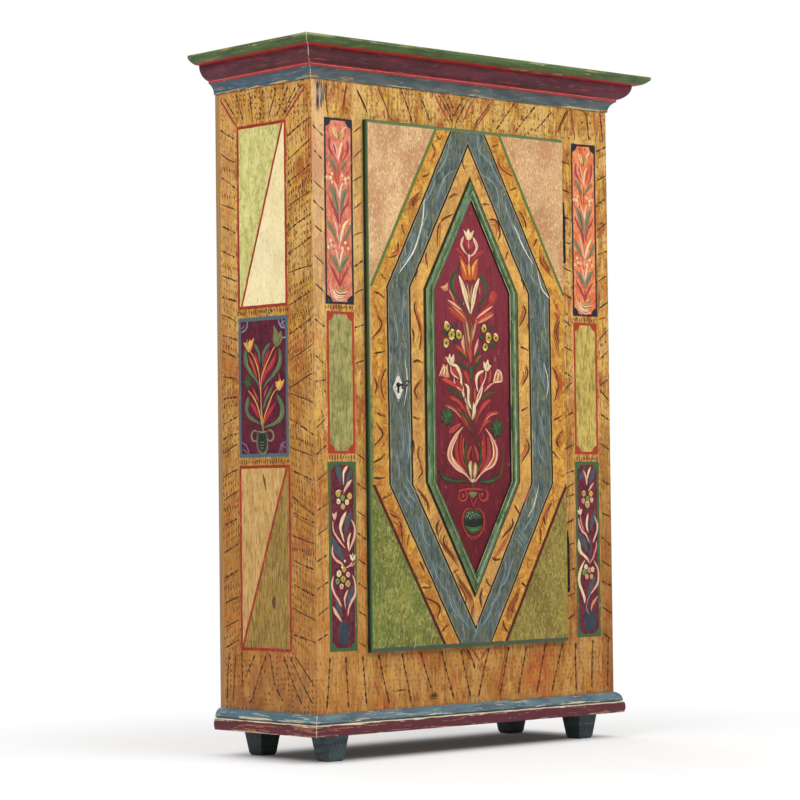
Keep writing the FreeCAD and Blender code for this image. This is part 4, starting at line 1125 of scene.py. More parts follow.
FRONT_COMBING = """
umber 4.8 h -525,1588 35,-25; -525,1530 35,-30
umber 3.2 b -525,1450 36,-23
umber 4.8 h -525,1400 35,-24; -525,1340 35,-22
umber 3.2 b -525,1265 35,-25
umber 4.8 h -525,1195 35,-23; -525,1105 35,-21
umber 5.4 h -525,1015 35,-25
umber 4.8 h -525,948 35,4
umber 3.2 b -525,830 37,28
umber 4.8 h -525,765 37,25
umber 2.8 b -525,700 37,22
umber 4.8 h -525,625 37,20
umber 3.2 b -525,565 37,20
umber 4.8 h -525,500 37,18; -525,432 37,18
umber 3.2 b -525,365 37,23
umber 4.8 h -525,305 37,17
umber 3.2 b -392,1578 31,20; -393,1512 32,28; -393,1455 32,17
umber 2.8 b -393,1385 32,20; -393,1318 32,12
umber 4.8 h -393,1238 32,20
umber 2.8 b -393,1172 32,13
umber 4.8 h -393,1085 32,10
umber 3.2 b -393,995 32,10; -391,770 30,-18
umber 4.8 h -391,695 30,-17
umber 2.8 b -391,625 30,-17
umber 4.8 h -391,570 30,-18
umber 3.2 b -391,505 30,-17
umber 4.8 h -391,445 30,-17
umber 2.8 b -391,375 30,-17
umber 4.8 h -391,297 30,-17
smoke 3 s -512,1704 3,-32 -2,-38
smoke 4 s -506,1704 3,-36 -2,-42
slate 4 s -500,1704 3,-32 -2,-38
smoke 4 s -494,1704 2,-36 -2,-38
smoke 3 s -487,1702 1,-26 -2,-36
bark 3 s -480,1702 -1,-26 1,-28
chalk 1.6 s -508,1696 3,-24 -2,-22
chalk 1.4 s -500,1690 2,-24 -3,-22
umber 3.2 b -508,1700 1,-40 -3,-38; -476,1700 -2,-40 2,-38
rust 9 l -410,1702 -8,-42 -8,-42
umber 2.8 b -412,1700 -10,-60
umber 3.2 b -378,1690 14,-22 14,-28
umber 6.4 h -485,262 -5,-62 -8,-68; -433,262 3,-62 4,-68; -377,262 5,-62 7,-68
umber 3.2 b -375,1690 19,-30 16,-30; -305,1702 21,-38 19,-40
umber 5.4 h -225,1702 19,-38 16,-40
umber 4.8 h -165,1702 21,-38 19,-40
rust 6 l -112,1702 28,-38 28,-36
umber 4.8 h -96,1702 30,-38 22,-36; -80,1702 20,-30 18,-24; -62,1702 10,-18 10,-16; -4,1702 -20,-26 -18,-28
umber 4.8 h 14,1702 -30,-42 -22,-34
rust 5 l 34,1702 -28,-38 -24,-40
umber 3.2 b 30,1624 32,40 38,38
rust 5 l 36,1622 32,38 36,38
umber 5.4 h 110,1624 36,40 34,38; 180,1624 40,40 40,38
umber 4.4 h 250,1630 36,30 36,32
rust 6 l 330,1626 26,38 26,38
umber 2.8 b 344,1640 20,30 20,30
umber 6 h -325,262 17,-62 20,-68
umber 6.4 h -245,262 15,-62 16,-68
umber 6 h -180,262 18,-52 18,-45
umber 6.4 h -108,262 20,-62 24,-68
umber 6 h -40,262 16,-62 19,-68
rust 8 l -30,262 16,-16 14,-14; 0,262 14,-16 12,-14; 58,262 -16,-16 -12,-14
umber 6.4 h -18,262 18,-26 10,-26
umber 6 h 62,262 -22,-62 -20,-68
rust 7 l 126,262 -18,-62 -18,-68
umber 6.4 h 134,262 -18,-62 -18,-68; 200,262 -18,-62 -18,-68
umber 6 h 270,262 -18,-62 -18,-68
umber 6.4 h 335,262 -23,-62 -22,-68
umber 8 l -146,148 11,1 10,-1
bark 3 s -152,150 17,6 15,-7; -152,147 17,-6 15,6
umber 3 l -271,166 21,3 19,-1
umber 3.2 b 346,1562 40,-10; 346,1485 40,-10
umber 4.8 h 346,1410 40,-6; 346,1345 40,-9
umber 3.2 b 346,1275 40,-13
umber 4.8 h 346,1205 40,-15
umber 3.2 b 346,1135 40,-23
umber 2.8 b 346,1062 40,-15
umber 5.4 h 346,995 40,-20
umber 3.2 b 346,935 40,30
umber 4.8 h 346,865 40,17
umber 3.2 b 346,780 40,15
umber 4.8 h 346,715 40,10
umber 2.8 b 346,672 40,20
umber 4.8 h 346,652 40,9; 346,580 40,15
umber 3.2 b 346,520 40,11
umber 4.8 h 346,452 40,10
umber 2.8 b 346,385 40,11
umber 4.8 h 346,322 40,18; 489,1595 37,15
umber 3.2 b 489,1515 37,17
umber 4.8 h 489,1452 37,16
umber 3.2 b 489,1380 37,22
umber 4.8 h 489,1312 37,13
umber 2.8 b 489,1240 37,18
umber 4.8 h 489,1165 37,20
umber 3.2 b 489,1080 37,30
umber 4.8 h 489,1025 37,27
umber 2.8 b 489,955 37,20
umber 3.2 b 489,945 37,-30
umber 4.8 h 489,880 37,-18
umber 2.8 b 489,800 37,-20
umber 4.8 h 489,700 37,-16
umber 3.2 b 489,610 37,-11
umber 4.8 h 489,545 37,-25
umber 2.8 b 489,480 37,-18
umber 4.8 h 489,425 37,-15
umber 3.2 b 489,355 37,-20
umber 4.8 h 489,285 37,-23
umber 3.2 b 378,1700 -16,-24 -17,-26
rust 8 l 393,1704 7,-40 6,-40
umber 4.8 h 450,1702 7,-38 5,-40; 505,1702 6,-38 4,-44
umber 6.4 h 384,262 -2,-62 2,-66
umber 4.8 h 450,268 -4,-68 -3,-60; 510,268 -3,-68 -2,-60
rust 5 s 490,1136 14,4 16,2
umber 2 v 398,1132 72,0; -480,1136 80,0; -480,760 80,0; 398,757 78,0
"""

SIDE_COMBING = """
umber 5.4 h -145,1610 47,-20 46,-22
umber 3.2 b -145,1555 47,-25 46,-23
umber 5.4 h -145,1492 47,-22 46,-20
umber 3.2 b -145,1424 47,-16 46,-17
umber 5.4 h -145,1368 47,-18 46,-20; -145,1310 47,-20 46,-18
umber 3.2 b -145,1238 47,-6 46,-7
umber 5.4 h -145,1176 47,-18 46,-16; -145,1108 47,-20 46,-18
umber 3.2 b -145,1040 47,-18 46,-17
umber 4 b -145,970 47,-18 46,-17
umber 3.2 b -145,895 47,15 46,12
umber 5.4 h -145,815 47,23 46,20
umber 3.2 b -145,762 47,12 46,13
umber 5.4 h -145,700 47,16 40,12; -145,615 47,25 40,25
rust 6 l -145,588 47,14 40,16
umber 4.8 h -145,596 47,14 40,14
umber 3.2 b -145,545 47,10 40,10
umber 5.4 h -145,480 47,12 40,13; -145,415 47,15 40,15
umber 3.2 b -145,355 47,15 40,15
umber 5.4 h -145,300 47,10 40,8
umber 3.2 b 154,1520 32,14 30,16
umber 5.4 h 154,1580 32,16 30,16; 154,1455 32,19 30,16
umber 3.2 b 154,1400 32,10 30,10
umber 5.4 h 154,1338 32,14 30,12; 154,1276 32,12 30,12
umber 4 b 154,1215 32,11 30,9
umber 5.4 h 154,1165 32,7 30,8
umber 3.2 b 154,1110 32,14 30,11
umber 5.4 h 154,1065 32,9 30,6; 154,1020 32,10 30,10
umber 3.2 b 154,965 32,5 30,5
umber 5.4 h 154,920 32,-2 30,-2; 154,870 32,-10 30,-10; 154,826 32,-4 30,-10
umber 3.2 b 154,800 32,-12 30,-13; 156,735 30,-9 30,-12; 156,680 30,-12 30,-13
umber 5.4 h 156,610 30,-10 30,-10; 156,545 30,-13 30,-12; 156,478 30,-12 30,-11
umber 4 b 156,410 30,-10 30,-10
umber 3.2 b 156,350 30,-10 30,-10
umber 5.4 h 156,300 30,-12 30,-12
red 6 b -44,1614 -40,36 -44,40; 148,1614 34,36 34,40
umber 5 h -40,1624 -38,36 -34,32; 144,1626 28,34 28,32
umber 5.4 h -60,1697 24,-37 28,-40; -90,1690 26,-30 24,-30
umber 3.2 b -14,1700 18,-40 16,-40
umber 5.4 h 40,1700 8,-40 4,-40
umber 3.2 b 96,1700 -6,-40 -6,-40
umber 5.4 h 150,1700 -14,-40 -16,-40
umber 3.2 b -140,190 36,36 42,38
umber 5.4 h -128,150 44,56 40,56; -92,140 40,62 34,62; 36,268 -20,-78 -32,-40; 50,262 36,-66 28,-56
umber 5.4 h 95,262 23,-34 18,-28; 150,268 -3,-44 -3,-44
umber 3.2 b 170,262 10,-62 6,-60
umber 5.4 h 200,262 6,-62 4,-60
umber 2.4 v -48,1133 196,0; -48,752 196,0
umber 2 v 160,1500 50,10; 160,1432 50,8; 160,1248 50,14; 160,1040 50,12; 160,900 50,-4; 160,640 50,-10
umber 2 v 160,440 50,-10; -140,1210 80,-30; -140,1130 80,-26; -140,790 80,22; -140,520 80,14
umber 2 v -140,1450 80,-26
umber 5 l 56,722 -6,-18 -6,-24; 12,412 3,-16 -3,-16
umber 4 l 20,408 2,-12 -3,-12
bark 4 s 16,416 2,-20 -2,-18
"""


@dataclass(frozen=True)
class Panel:
    """A painted rectangle: its place on the face, its lining's width and its corner quadrants' radius."""

    left: float
    right: float
    low: float
    high: float
    lining: float
    corner: float = 0.0
    soft: float = 0.7

    @property
    def middle(self) -> float:
        """Return the middle across."""
        return (self.left + self.right) / 2

    def masks(self, u: Value, v: Value) -> tuple[Value, Value, Value]:
        """Return where the field, the lining and the corner quadrants are.

        A place lies inside by the lesser of its distances from the nearest upright and level edges.

        Args:
            u: Place across the face.
            v: Place up the face.

        Returns:
            Three shares from 0 to 1.
        """
        wide, tall = (self.right - self.left) / 2, (self.high - self.low) / 2
        a = wide - abs(u - self.middle)
        b = tall - abs(v - (self.low + tall))
        inside = a.down(b)
        whole = inside.rise(-self.soft, self.soft)
        ground = inside.rise(self.lining - self.soft, self.lining + self.soft)
        near = 1 - (a * a + b * b).math("SQRT").rise(self.corner - 1, self.corner + 1)
        block = whole * near if self.corner else whole * 0
        return ground, whole * (1 - ground), block


POST_PANELS = (Panel(392, 486, 1143, 1611, 6, 24), Panel(393, 483, 769, 1125, 7, 25),
               Panel(392, 484, 275, 749, 7.5, 24))
SIDE_PANELS = (Panel(-48, 150, 1142, 1613, 8), Panel(-48, 150, 763, 1120, 9), Panel(-53, 151, 273, 743, 8))
# From the left post's tulips to the right post's, the middle between the posts, and the key's height.
POSTS_APART = (878, -2)
POSTS_MIDDLE = -1.5
KEY_HEIGHT = 943.0

# The six-sided figure on the door: its middle, the levels where its bands meet, and where its sides bend.
FIGURE_MIDDLE, FIGURE_WAIST, FIGURE_LEAN = -6.0, 942.0, 0.006
FIGURE_TOP_CORNER, FIGURE_TOP_SLOPE = 1192.0, 1.79
FIGURE_LOW_CORNER, FIGURE_LOW_SLOPE = 690.0, 1.75
GOLD_TO_BLUE, BLUE_TO_GOLD, FIGURE_EDGE = 213.0, 290.0, 345.0


def at_least(value: Value | np.ndarray, floor: float) -> Value | np.ndarray:
    """Return a value, or the floor where the value is less."""
    return value.up(floor) if isinstance(value, Value) else np.maximum(value, floor)


def figure_level(off: Value | np.ndarray, v: Value | np.ndarray) -> Value | np.ndarray:
    """Return how far out a place lies in the door's painted six-sided figure.

    Args:
        off: Distance across from the figure's middle.
        v: Height.

    Returns:
        The distance across, plus a share of the height past the figure's upper or lower corners.
    """
    above = at_least(v - FIGURE_TOP_CORNER, 0) / FIGURE_TOP_SLOPE
    below = at_least(FIGURE_LOW_CORNER - v, 0) / FIGURE_LOW_SLOPE
    return abs(off) + above + below


def moulding_level(s: Shader) -> Value:
    """Return how far out a place lies in the six-sided raised moulding, measured the same way."""
    straight, slope = 248, 0.5614
    past = (abs(s.z - MOULDING.middle(2)) - straight).up(0)
    return abs(s.x - MOULDING.middle(0)) + past * slope


def ochre(s: Shader, phase: Value, across: Value, comb: float) -> bpy.types.NodeSocket:
    """Return the combed ochre glaze: clouds of yellow and orange, upright streaks, flecks and comb marks.

    The comb marks are short upright ticks where two waves are both high: one of the phase, one across.

    Args:
        s: The material in the making.
        phase: Millimetres square to the rows of ticks.
        across: Millimetres along them.
        comb: How dark the ticks are.

    Returns:
        The colour.
    """
    row_wave, tick_wave = 0.34, 0.62
    high = s.z.rise(100, 1300) * 0.7 + 0.3
    base = s.clouds("bd8a3e", Cloud("dcb064", 60, 2.2, 0, (0.42, 0.58)))
    base = s.mix(base, "a8682c", (1 - s.z.rise(200, 1500)) * 0.58)
    base = s.clouds(base, Cloud("b55c2a", 95, 1.3, 4, (0.5, 0.66), 0.75, 4),
                    Cloud("e2b245", 34, 1.5, 6, (0.52, 0.64), 0.6, where=high),
                    Cloud("7d4c22", 5.5, 10, 9, (0.5, 0.66), 0.72, 4, 0.66),
                    Cloud("f0cf92", 5.5, 10, 9, (0.46, 0.3), 0.62, 4, 0.66, where=high))
    ripple = s.waver(38, 2, 30)
    rows = ((phase + ripple) * row_wave).sine()
    ticks = ((across + ripple * 0.7) * tick_wave).sine()
    marks = rows.rise(-0.1, 0.45) * ticks.rise(0.1, 0.55) * s.noise(34, shift=12).rise(0.42, 0.54)
    base = s.mix(base, "4e2d16", marks * comb)
    return s.clouds(base, Cloud("9f4422", 17, 1.6, 16, (0.58, 0.66), 0.65),
                    Cloud("3f2614", 7, 1.7, 20, (0.6, 0.66), 0.75, 2, where=high))


def mottled(s: Shader, first: object, second: object, fleck: str, shift: float = 0, size: float = 26,
            fine: bool = False) -> bpy.types.NodeSocket:
    """Return a dabbed field of two colours with upright flecks of a third, or with fine grain instead.

    Args:
        s: The material in the making.
        first: The darker colour.
        second: The lighter colour.
        fleck: The colour of the flecks.
        shift: Moves the pattern.
        size: The size of the clouds of the two colours.
        fine: Whether the field has fine grain.

    Returns:
        The colour.
    """
    base = s.clouds(first, Cloud(second, size, 2.4, shift, (0.42, 0.58), 1, 4, 0.66))
    dab = (4, 8, shift + 5) if fine else (7, 1.9, shift + 5)
    way = (3, 0.7, 0.4 if fine else 0)
    if fine:
        pale = s.mix(second, "fff0c0", 0.4)
        base = s.clouds(base, Cloud(pale, 3.6, 10, shift + 9, (0.52, 0.66), 0.5, *way))
    return s.clouds(base, Cloud(second, *dab, (0.48, 0.34), 0.85, *way),
                    Cloud(fleck, *dab, (0.52, 0.64), 0.7 if fine else 0.85, *way))


class Finishes:
    """Makes the wood, paint and metal of the cupboard."""

    def carcass_paint(self) -> bpy.types.Material:
        """Make the paint of the sides, stiles and rails: ochre with lined panels, bare pine within."""
        s = Shader("carcass_paint")
        u = abs(s.x - POSTS_MIDDLE) + s.waver(34, 5, 3.2, 2)
        v = s.z + s.waver(34, 8, 3.2, 2)
        y = s.y + s.waver(34, 5, 3.4, 2)
        side_on = abs(s.x) > BODY.high[0] - SKIN
        phase, across = self.comb_ways(s, side_on)
        posts = [panel.masks(u, v) for panel in POST_PANELS]
        flanks = [panel.masks(y, v) for panel in SIDE_PANELS]
        front = self.front_colour(s, ochre(s, phase, across, 0.4), posts)
        side = self.side_colour(s, ochre(s, phase, across, 0.92), y, v, flanks)
        paint = s.mix(front, side, side_on)
        worn = s.noise(13, 3, 5, 0.66, shift=80).rise(0.63, 0.68) * 0.4
        shielded = (flanks[1][0] + posts[2][0] + posts[1][0]).down(1)
        paint = s.mix(paint, "cfae7c", worn * (1 - shielded * 0.8))
        # A pale line along the front left corner edge: worn paint, and a painted highlight standing in for
        # light caught on a rounded edge.
        arris_wear_and_highlight = (1 - (s.x - BODY.low[0]).rise(2, 5)) * s.noise(26, 4, 3, shift=83).rise(0.45, 0.6)
        paint = s.mix(paint, "cda974", arris_wear_and_highlight * (s.y < BODY.low[1] + 8) * 0.15)
        outside = (s.y < BODY.low[1] + SKIN).up(side_on)
        colour = s.mix(self.pine_colour(s), paint, outside)
        height = s.noise(4, 14, 3, shift=90) + s.noise(30, 2, 2, shift=93) * 0.6
        colour = s.tone(colour, s.noise(120, shift=99), 0.08)
        return s.finish(colour, s.sheen(40, 97, 0.36), height, 0.3)

    def comb_ways(self, s: Shader, side_on: Value) -> tuple[Value, Value]:
        """Return the way square to the comb's rows and the way along them.

        On upright boards the rows fall or climb from each board's middle. On the rails they fan out.
        """
        rail = (s.z > DOOR.high[2]).up(s.z < DOOR.low[2] + 3)
        lean = (s.z > 960) * 0.9 - 0.45
        off_post = abs(abs(s.x) - POST_PANELS[0].middle)
        off = off_post * (1 - side_on) + abs(s.y - SIDE_PANELS[0].middle) * side_on
        upright = s.z - off * lean
        fan = s.x * 1.2 + s.y * 1.2 + s.z * ((s.x > -42) * -1.1 + 0.55) * (1 - side_on)
        phase = upright * (1 - rail) + fan * rail
        return phase, (s.x + s.y) * (1 - rail) + s.z * 0.75 * rail

    def front_colour(self, s: Shader, ground: object, posts: list[tuple[Value, Value, Value]]) -> object:
        """Return the front: ground with paler and darker strips, one of painted light under the cornice,
        and three lined panels on each post.
        """
        aloft, below = s.z.rise(900, 1400), 1 - s.z.rise(500, 900)
        # The first, paler strip between the left post and the door, high up, is painted light that lifts
        # the shade under the cornice.
        ground = s.layers(ground, ("eac47e", (abs(s.x + 376) < 18) * aloft * 0.35),
                          ("e0b48c", (s.x < -488) * aloft * 0.5), ("845022", (s.x > 486) * below * 0.5),
                          ("e0a058", (s.x < -340) * below * 0.14))
        right = s.x > 0
        pink = mottled(s, s.mix("c8664e", "dc6c3c", right), s.mix("de8a6c", "ee9462", right), "a84a38", 31)
        greens = s.mix("807b45", "a68e40", right), s.mix("a69f60", "ccb25e", right)
        moss = mottled(s, *greens, "726e3a", 37, 12, True)
        wine = mottled(s, "5c222e", "722e38", "3a181f", 41)
        (top, top_line, top_block), (mid, mid_line, mid_block), (low, low_line, low_block) = posts
        return s.layers(ground, (pink, top), (moss, mid), (wine, low), ("262a31", top_line.up(top_block)),
                        ("a83a28", mid_line.up(mid_block)), ("41633a", low_line.up(low_block)))

    def side_colour(self, s: Shader, ground: object, y: Value, v: Value,
                    flanks: list[tuple[Value, Value, Value]]) -> object:
        """Return a side: ground with three lined panels, the outer two cut across by a red diagonal.

        Args:
            s: The material in the making.
            ground: The colour round the panels.
            y: Place across the side.
            v: Place up the side.
            flanks: The panels' masks.

        Returns:
            The colour.
        """
        foot = 1 - s.z.rise(110, 330)
        ground = s.mix(ground, "a5682a", 0.26 - s.z.rise(800, 1500) * 0.2)
        damp = s.noise(60, 0.8, 3, shift=104).rise(0.4, 0.58) * foot * 0.5
        ground = s.mix(ground, "7c4636", damp)
        ground = s.layers(ground, ("e2ac66", (s.y > 155) * s.z.rise(900, 1300) * 0.32),
                          ("b8621f", s.z.rise(1450, 1620) * 0.16))
        (up, up_line, _), (bunch, bunch_line, _), (down, down_line, _) = flanks
        cut_up = (v - 1605) + (y + 33) * 2.708
        cut_down = (v - 735) + (y + 38) * 2.514
        pale = s.mix(mottled(s, "efdca4", "f8e8ba", "d9c184", 51, 30), "f3e2ae", 0.35)
        green_cream = mottled(s, "c6bf6e", "dcd48e", "a6a05a", 55, 22)
        tan = mottled(s, "c09558", "d3aa66", "78562c", 61, 22, True)
        olive = mottled(s, "8a6e34", "a5833a", "4d3d1c", 65, 18, True)
        plum = mottled(s, "541a2c", "661f33", "381222", 71, 40)
        high_field = s.mix(pale, green_cream, cut_up.rise(-1.5, 1.5))
        low_field = s.mix(olive, tan, cut_down.rise(-1.5, 1.5))
        line_up = (1 - abs(cut_up).rise(9, 12)) * up
        line_down = (1 - abs(cut_down).rise(9, 12)) * down
        red = s.clouds("ae3426", Cloud("8e2f20", 18, 2, 75, (0.42, 0.6)))
        lines = up_line.up(line_up).up(down_line).up(line_down)
        return s.layers(ground, (high_field, up), (low_field, down), (plum, bunch), ("50666e", bunch_line),
                        (red, lines))

    def door_paint(self) -> bpy.types.Material:
        """Make the door's paint: a six-sided figure of wine, gold, blue and gold, and dabbed corners."""
        s = Shader("door_paint")
        sway = s.waver(40, 5, 3.4, 2)
        v = s.z + s.waver(40, 8, 3.4, 2)
        level = figure_level(s.x - FIGURE_MIDDLE + (v - FIGURE_WAIST) * FIGURE_LEAN, v) + sway
        raised = moulding_level(s)
        ends = (v < FIGURE_LOW_CORNER).up(v > FIGURE_TOP_CORNER)
        upper = v > FIGURE_WAIST
        gold = self.gold_band(s)
        corner = s.mix(self.tan_corner(s), self.green_corner(s), v < FIGURE_WAIST)
        base = s.layers(corner, (gold, 1 - level.rise(FIGURE_EDGE - 1, FIGURE_EDGE + 1)),
                        (self.blue_band(s), 1 - level.rise(BLUE_TO_GOLD - 1, BLUE_TO_GOLD + 1)),
                        (s.mix(gold, "f2cf8c", 0.16), 1 - level.rise(GOLD_TO_BLUE - 1, GOLD_TO_BLUE + 1)),
                        (self.wine_field(s), 1 - raised.rise(135, 140)))
        rim = s.mix("521c1c", "5f7236", upper)
        base = s.layers(base, ("cdb684", level.between(GOLD_TO_BLUE - 5.5, GOLD_TO_BLUE + 6, 0.8) * 0.35),
                        ("cdb684", level.between(BLUE_TO_GOLD - 5.5, BLUE_TO_GOLD + 5.5, 0.8) * 0.35),
                        ("1c1517", level.between(GOLD_TO_BLUE - 3, GOLD_TO_BLUE + 3.2)),
                        ("1c1517", level.between(BLUE_TO_GOLD - 3, BLUE_TO_GOLD + 3)),
                        (rim, level.between(FIGURE_EDGE - 5.4, FIGURE_EDGE + 5) * ends),
                        # Near-black round the moulding's outer foot: painted shadow of the moulding on the
                        # door.
                        ("17140f", raised.between(163, 169.5, 1.5) * 0.9),
                        ("5f7a50", v > DOOR.high[2] - 8), ("45564a", v < DOOR.low[2] + 10))
        # The door's edges are green paint, painted near-black towards the back as shade in the gap by the
        # stile, and paler at the front corner as a painted highlight.
        edge = s.clouds("1b2118", Cloud("26301f", 12, 8, 43, (0.42, 0.6)))
        lip = s.layers(edge, ("3f5a3c", 1 - s.y.rise(-159, -157)),
                       ("58784f", (1 - s.y.rise(-164.5, -163)) * 0.8))
        base = s.clouds(base, Cloud("d8bd92", 15, 3, 45, (0.65, 0.71), 0.4, 5, 0.66))
        boards = self.pine_colour(s, 174.4, -10.8, -140)
        colour = s.layers(lip, (base, s.y < DOOR.low[1] + SKIN), (boards, s.y > DOOR.high[1] - 6))
        height = s.noise(4, 14, 3, shift=47) + s.noise(26, 2, 2, shift=49) * 0.6
        colour = s.tone(colour, s.noise(110, shift=53), 0.08)
        return s.finish(colour, s.sheen(40, 51, 0.34), height, 0.3)

    def gold_band(self, s: Shader) -> bpy.types.NodeSocket:
        """Return the gold bands' paint: yellow and orange swirls with brown curls and flecks."""
        gold = s.clouds("bd8432", Cloud("d9a448", 40, 1.5, 0, (0.42, 0.58)))
        gold = s.mix(gold, "a86a2c", (1 - s.z.rise(300, 1300)) * 0.35)
        gold = s.mix(gold, s.mix("a0622e", "e09a40", s.x > 0), 0.16)
        gold = s.clouds(gold, Cloud("c06c2a", 21, 1.2, 3, (0.52, 0.64), 0.68, 3, 0.6, 1.4),
                        Cloud("e6b84e", 22, 1.6, 13, (0.5, 0.66), 0.6, 3, 0.5, 1.2))
        curls = (s.noise(34, 1.2, 1, 0.4, 0.9, shift=63) * 40).sine().rise(0.55, 0.95)
        gold = s.mix(gold, "8a5420", curls * s.noise(40, shift=66).rise(0.38, 0.52) * 0.7)
        return s.clouds(gold, Cloud("744620", 6, 2.4, 68, (0.54, 0.66), 0.5, 3, 0.66))

    def blue_band(self, s: Shader) -> bpy.types.NodeSocket:
        """Return the blue band's paint: grey blue with greener clouds and dark and pale streaks."""
        return s.clouds("46524c", Cloud("69746d", 9, 6, 15, (0.4, 0.6), 1, 4, 0.66),
                        Cloud("626650", 42, 1.8, 17, (0.48, 0.6), 0.75),
                        Cloud("566a72", 16, 2.6, 18, (0.56, 0.66), 0.65, 4),
                        Cloud("31423f", 6, 4, 70, (0.52, 0.64), 0.7, 3, 0.7),
                        Cloud("b9b898", 7, 6, 19, (0.58, 0.65), 0.45, 4, 0.7))

    def wine_field(self, s: Shader) -> bpy.types.NodeSocket:
        """Return the paint within the raised moulding: wine red, lighter and redder towards the top as a
        painted sheen, streaked.
        """
        wine = s.mix("641a25", "82303c", s.z.rise(450, 1350))
        return s.clouds(wine, Cloud("4c121c", 8, 9, 23, (0.5, 0.66), 0.5, 4, 0.66),
                        Cloud("98403e", 7, 5, 25, (0.56, 0.66), 0.45, 4, 0.66))

    def tan_corner(self, s: Shader) -> bpy.types.NodeSocket:
        """Return the upper corners' paint: tan and pale pink dabs, browner on the right."""
        blush = s.clouds("c8986a", Cloud("e2bb88", 70, 1.8, 27, (0.42, 0.6)))
        blush = s.mix(blush, "b07a4c", (s.x > 0) * 0.3)
        redder = 0.25 + 0.35 * s.z.rise(1250, 1550)
        return s.clouds(blush, Cloud("a8744c", 4.2, 2, 28, (0.5, 0.64), 0.6, 3, 0.7),
                        Cloud("f8e4ba", 5, 2.4, 32, (0.48, 0.34), 0.55, 3, 0.7),
                        Cloud("9c6644", 2.8, 2, 34, (0.53, 0.62), 0.38, 2, 0.6),
                        Cloud("b87a5e", 7, 1.8, 29, (0.5, 0.66), 1, 4, 0.7, where=redder))

    def green_corner(self, s: Shader) -> bpy.types.NodeSocket:
        """Return the lower corners' paint: dabs of dark and yellow green, browner on the right."""
        right = s.x > 0
        meadow = s.clouds("6e7238", Cloud("8c8c46", 44, 2, 33, (0.4, 0.6)),
                          Cloud("b3ae64", 5, 2.6, 34, (0.5, 0.34), 0.75, 3, 0.7),
                          Cloud("3e431e", 4.6, 2.2, 38, (0.5, 0.62), 0.75, 3, 0.7))
        mown = (s.x < 0) * s.noise(34, 1.6, 3, shift=74).rise(0.42, 0.6) * 0.4
        meadow = s.mix(meadow, "5e7830", mown)
        browner = 0.35 + 0.4 * right
        meadow = s.clouds(meadow, Cloud("6a4c26", 11, 1.5, 72, (0.54, 0.64), 1, 3, 0.7, where=browner),
                          Cloud("c0b05e", 7, 2, 35, (0.58, 0.66), 0.7, 3, 0.7))
        return s.mix(meadow, "a8702a", right * 0.24)

    def grain(self, s: Shader, across: Value, run: tuple[float, float, float],
              board: Value) -> bpy.types.NodeSocket:
        """Return old bare pine: soft bent rings across each board, with thin dark streaks.

        Args:
            s: The material in the making.
            across: Millimetres across the grain.
            run: How much longer the clouds are along each axis.
            board: The board's number, which turns its figure.

        Returns:
            The colour.
        """
        bend = s.noise(170, run, 1, shift=101) * 52
        ring = (across * 0.4 + bend + board * 4.3).sine()
        base = s.mix("bd9561", "a87f50", ring.rise(-0.8, 1))
        base = s.mix(base, "96704a", (board * 2.4).sine().rise(-0.6, 1.6) * 0.5)
        long = tuple(n * 4 if n > 1 else n for n in run)
        return s.clouds(base, Cloud("7a5434", 4, long, 103, (0.52, 0.7), 0.45, 4, 0.6),
                        Cloud("8a7860", 150, 1, 105, (0.42, 0.66), 0.3))

    def pine_colour(self, s: Shader, width: float = 264, seam: float = 0,
                    depth: float = 215) -> bpy.types.NodeSocket:
        """Return bare pine with upright grain.

        Args:
            s: The material in the making.
            width: The width of a board.
            seam: The place across of one joint between boards.
            depth: The place behind which the joints show.

        Returns:
            The colour.
        """
        place = (s.x - seam) / width
        board = place.math("FLOOR")
        joint = ((0.5 - abs(place - board - 0.5)) * width < 1.1) * (abs(s.x) < 500)
        colour = self.grain(s, s.x + s.y, (1, 1, 5), board)
        return s.mix(colour, "2e2014", joint * (s.y > depth) * 0.85)

    def bare_pine(self) -> bpy.types.Material:
        """Make the unpainted pine of the inside and back."""
        s = Shader("bare_pine")
        return s.finish(self.pine_colour(s), s.sheen(30, 107, 0.6, 0.2), s.noise(3, 18, 3, shift=109), 0.3)

    def shelf_pine(self) -> bpy.types.Material:
        """Make the unpainted pine of boards that lie level, with their grain along them."""
        s = Shader("shelf_pine")
        colour = self.grain(s, s.y + s.z * 0.8, (5, 1, 1), (s.z / 180).math("FLOOR"))
        return s.finish(colour, s.sheen(30, 115, 0.58, 0.2), s.noise(3, (18, 1, 1), 3, shift=117), 0.3)

    def brush_paint(self) -> bpy.types.Material:
        """Make the paint of the brush strokes: their own colour, uneven and scuffed in places."""
        s = Shader("brush_paint")
        own = s.node("ShaderNodeAttribute", {"attribute_name": "paint"}).outputs["Color"]
        colour = s.tone(own, s.noise(9, 2, 4, 0.6, shift=121), 0.2)
        colour = s.clouds(colour, Cloud("9c6a3c", 5, 2.5, 123, (0.58, 0.7), 0.5, 4, 0.66))
        return s.finish(colour, s.sheen(30, 125, 0.36), s.noise(3, shift=127), 0.2)

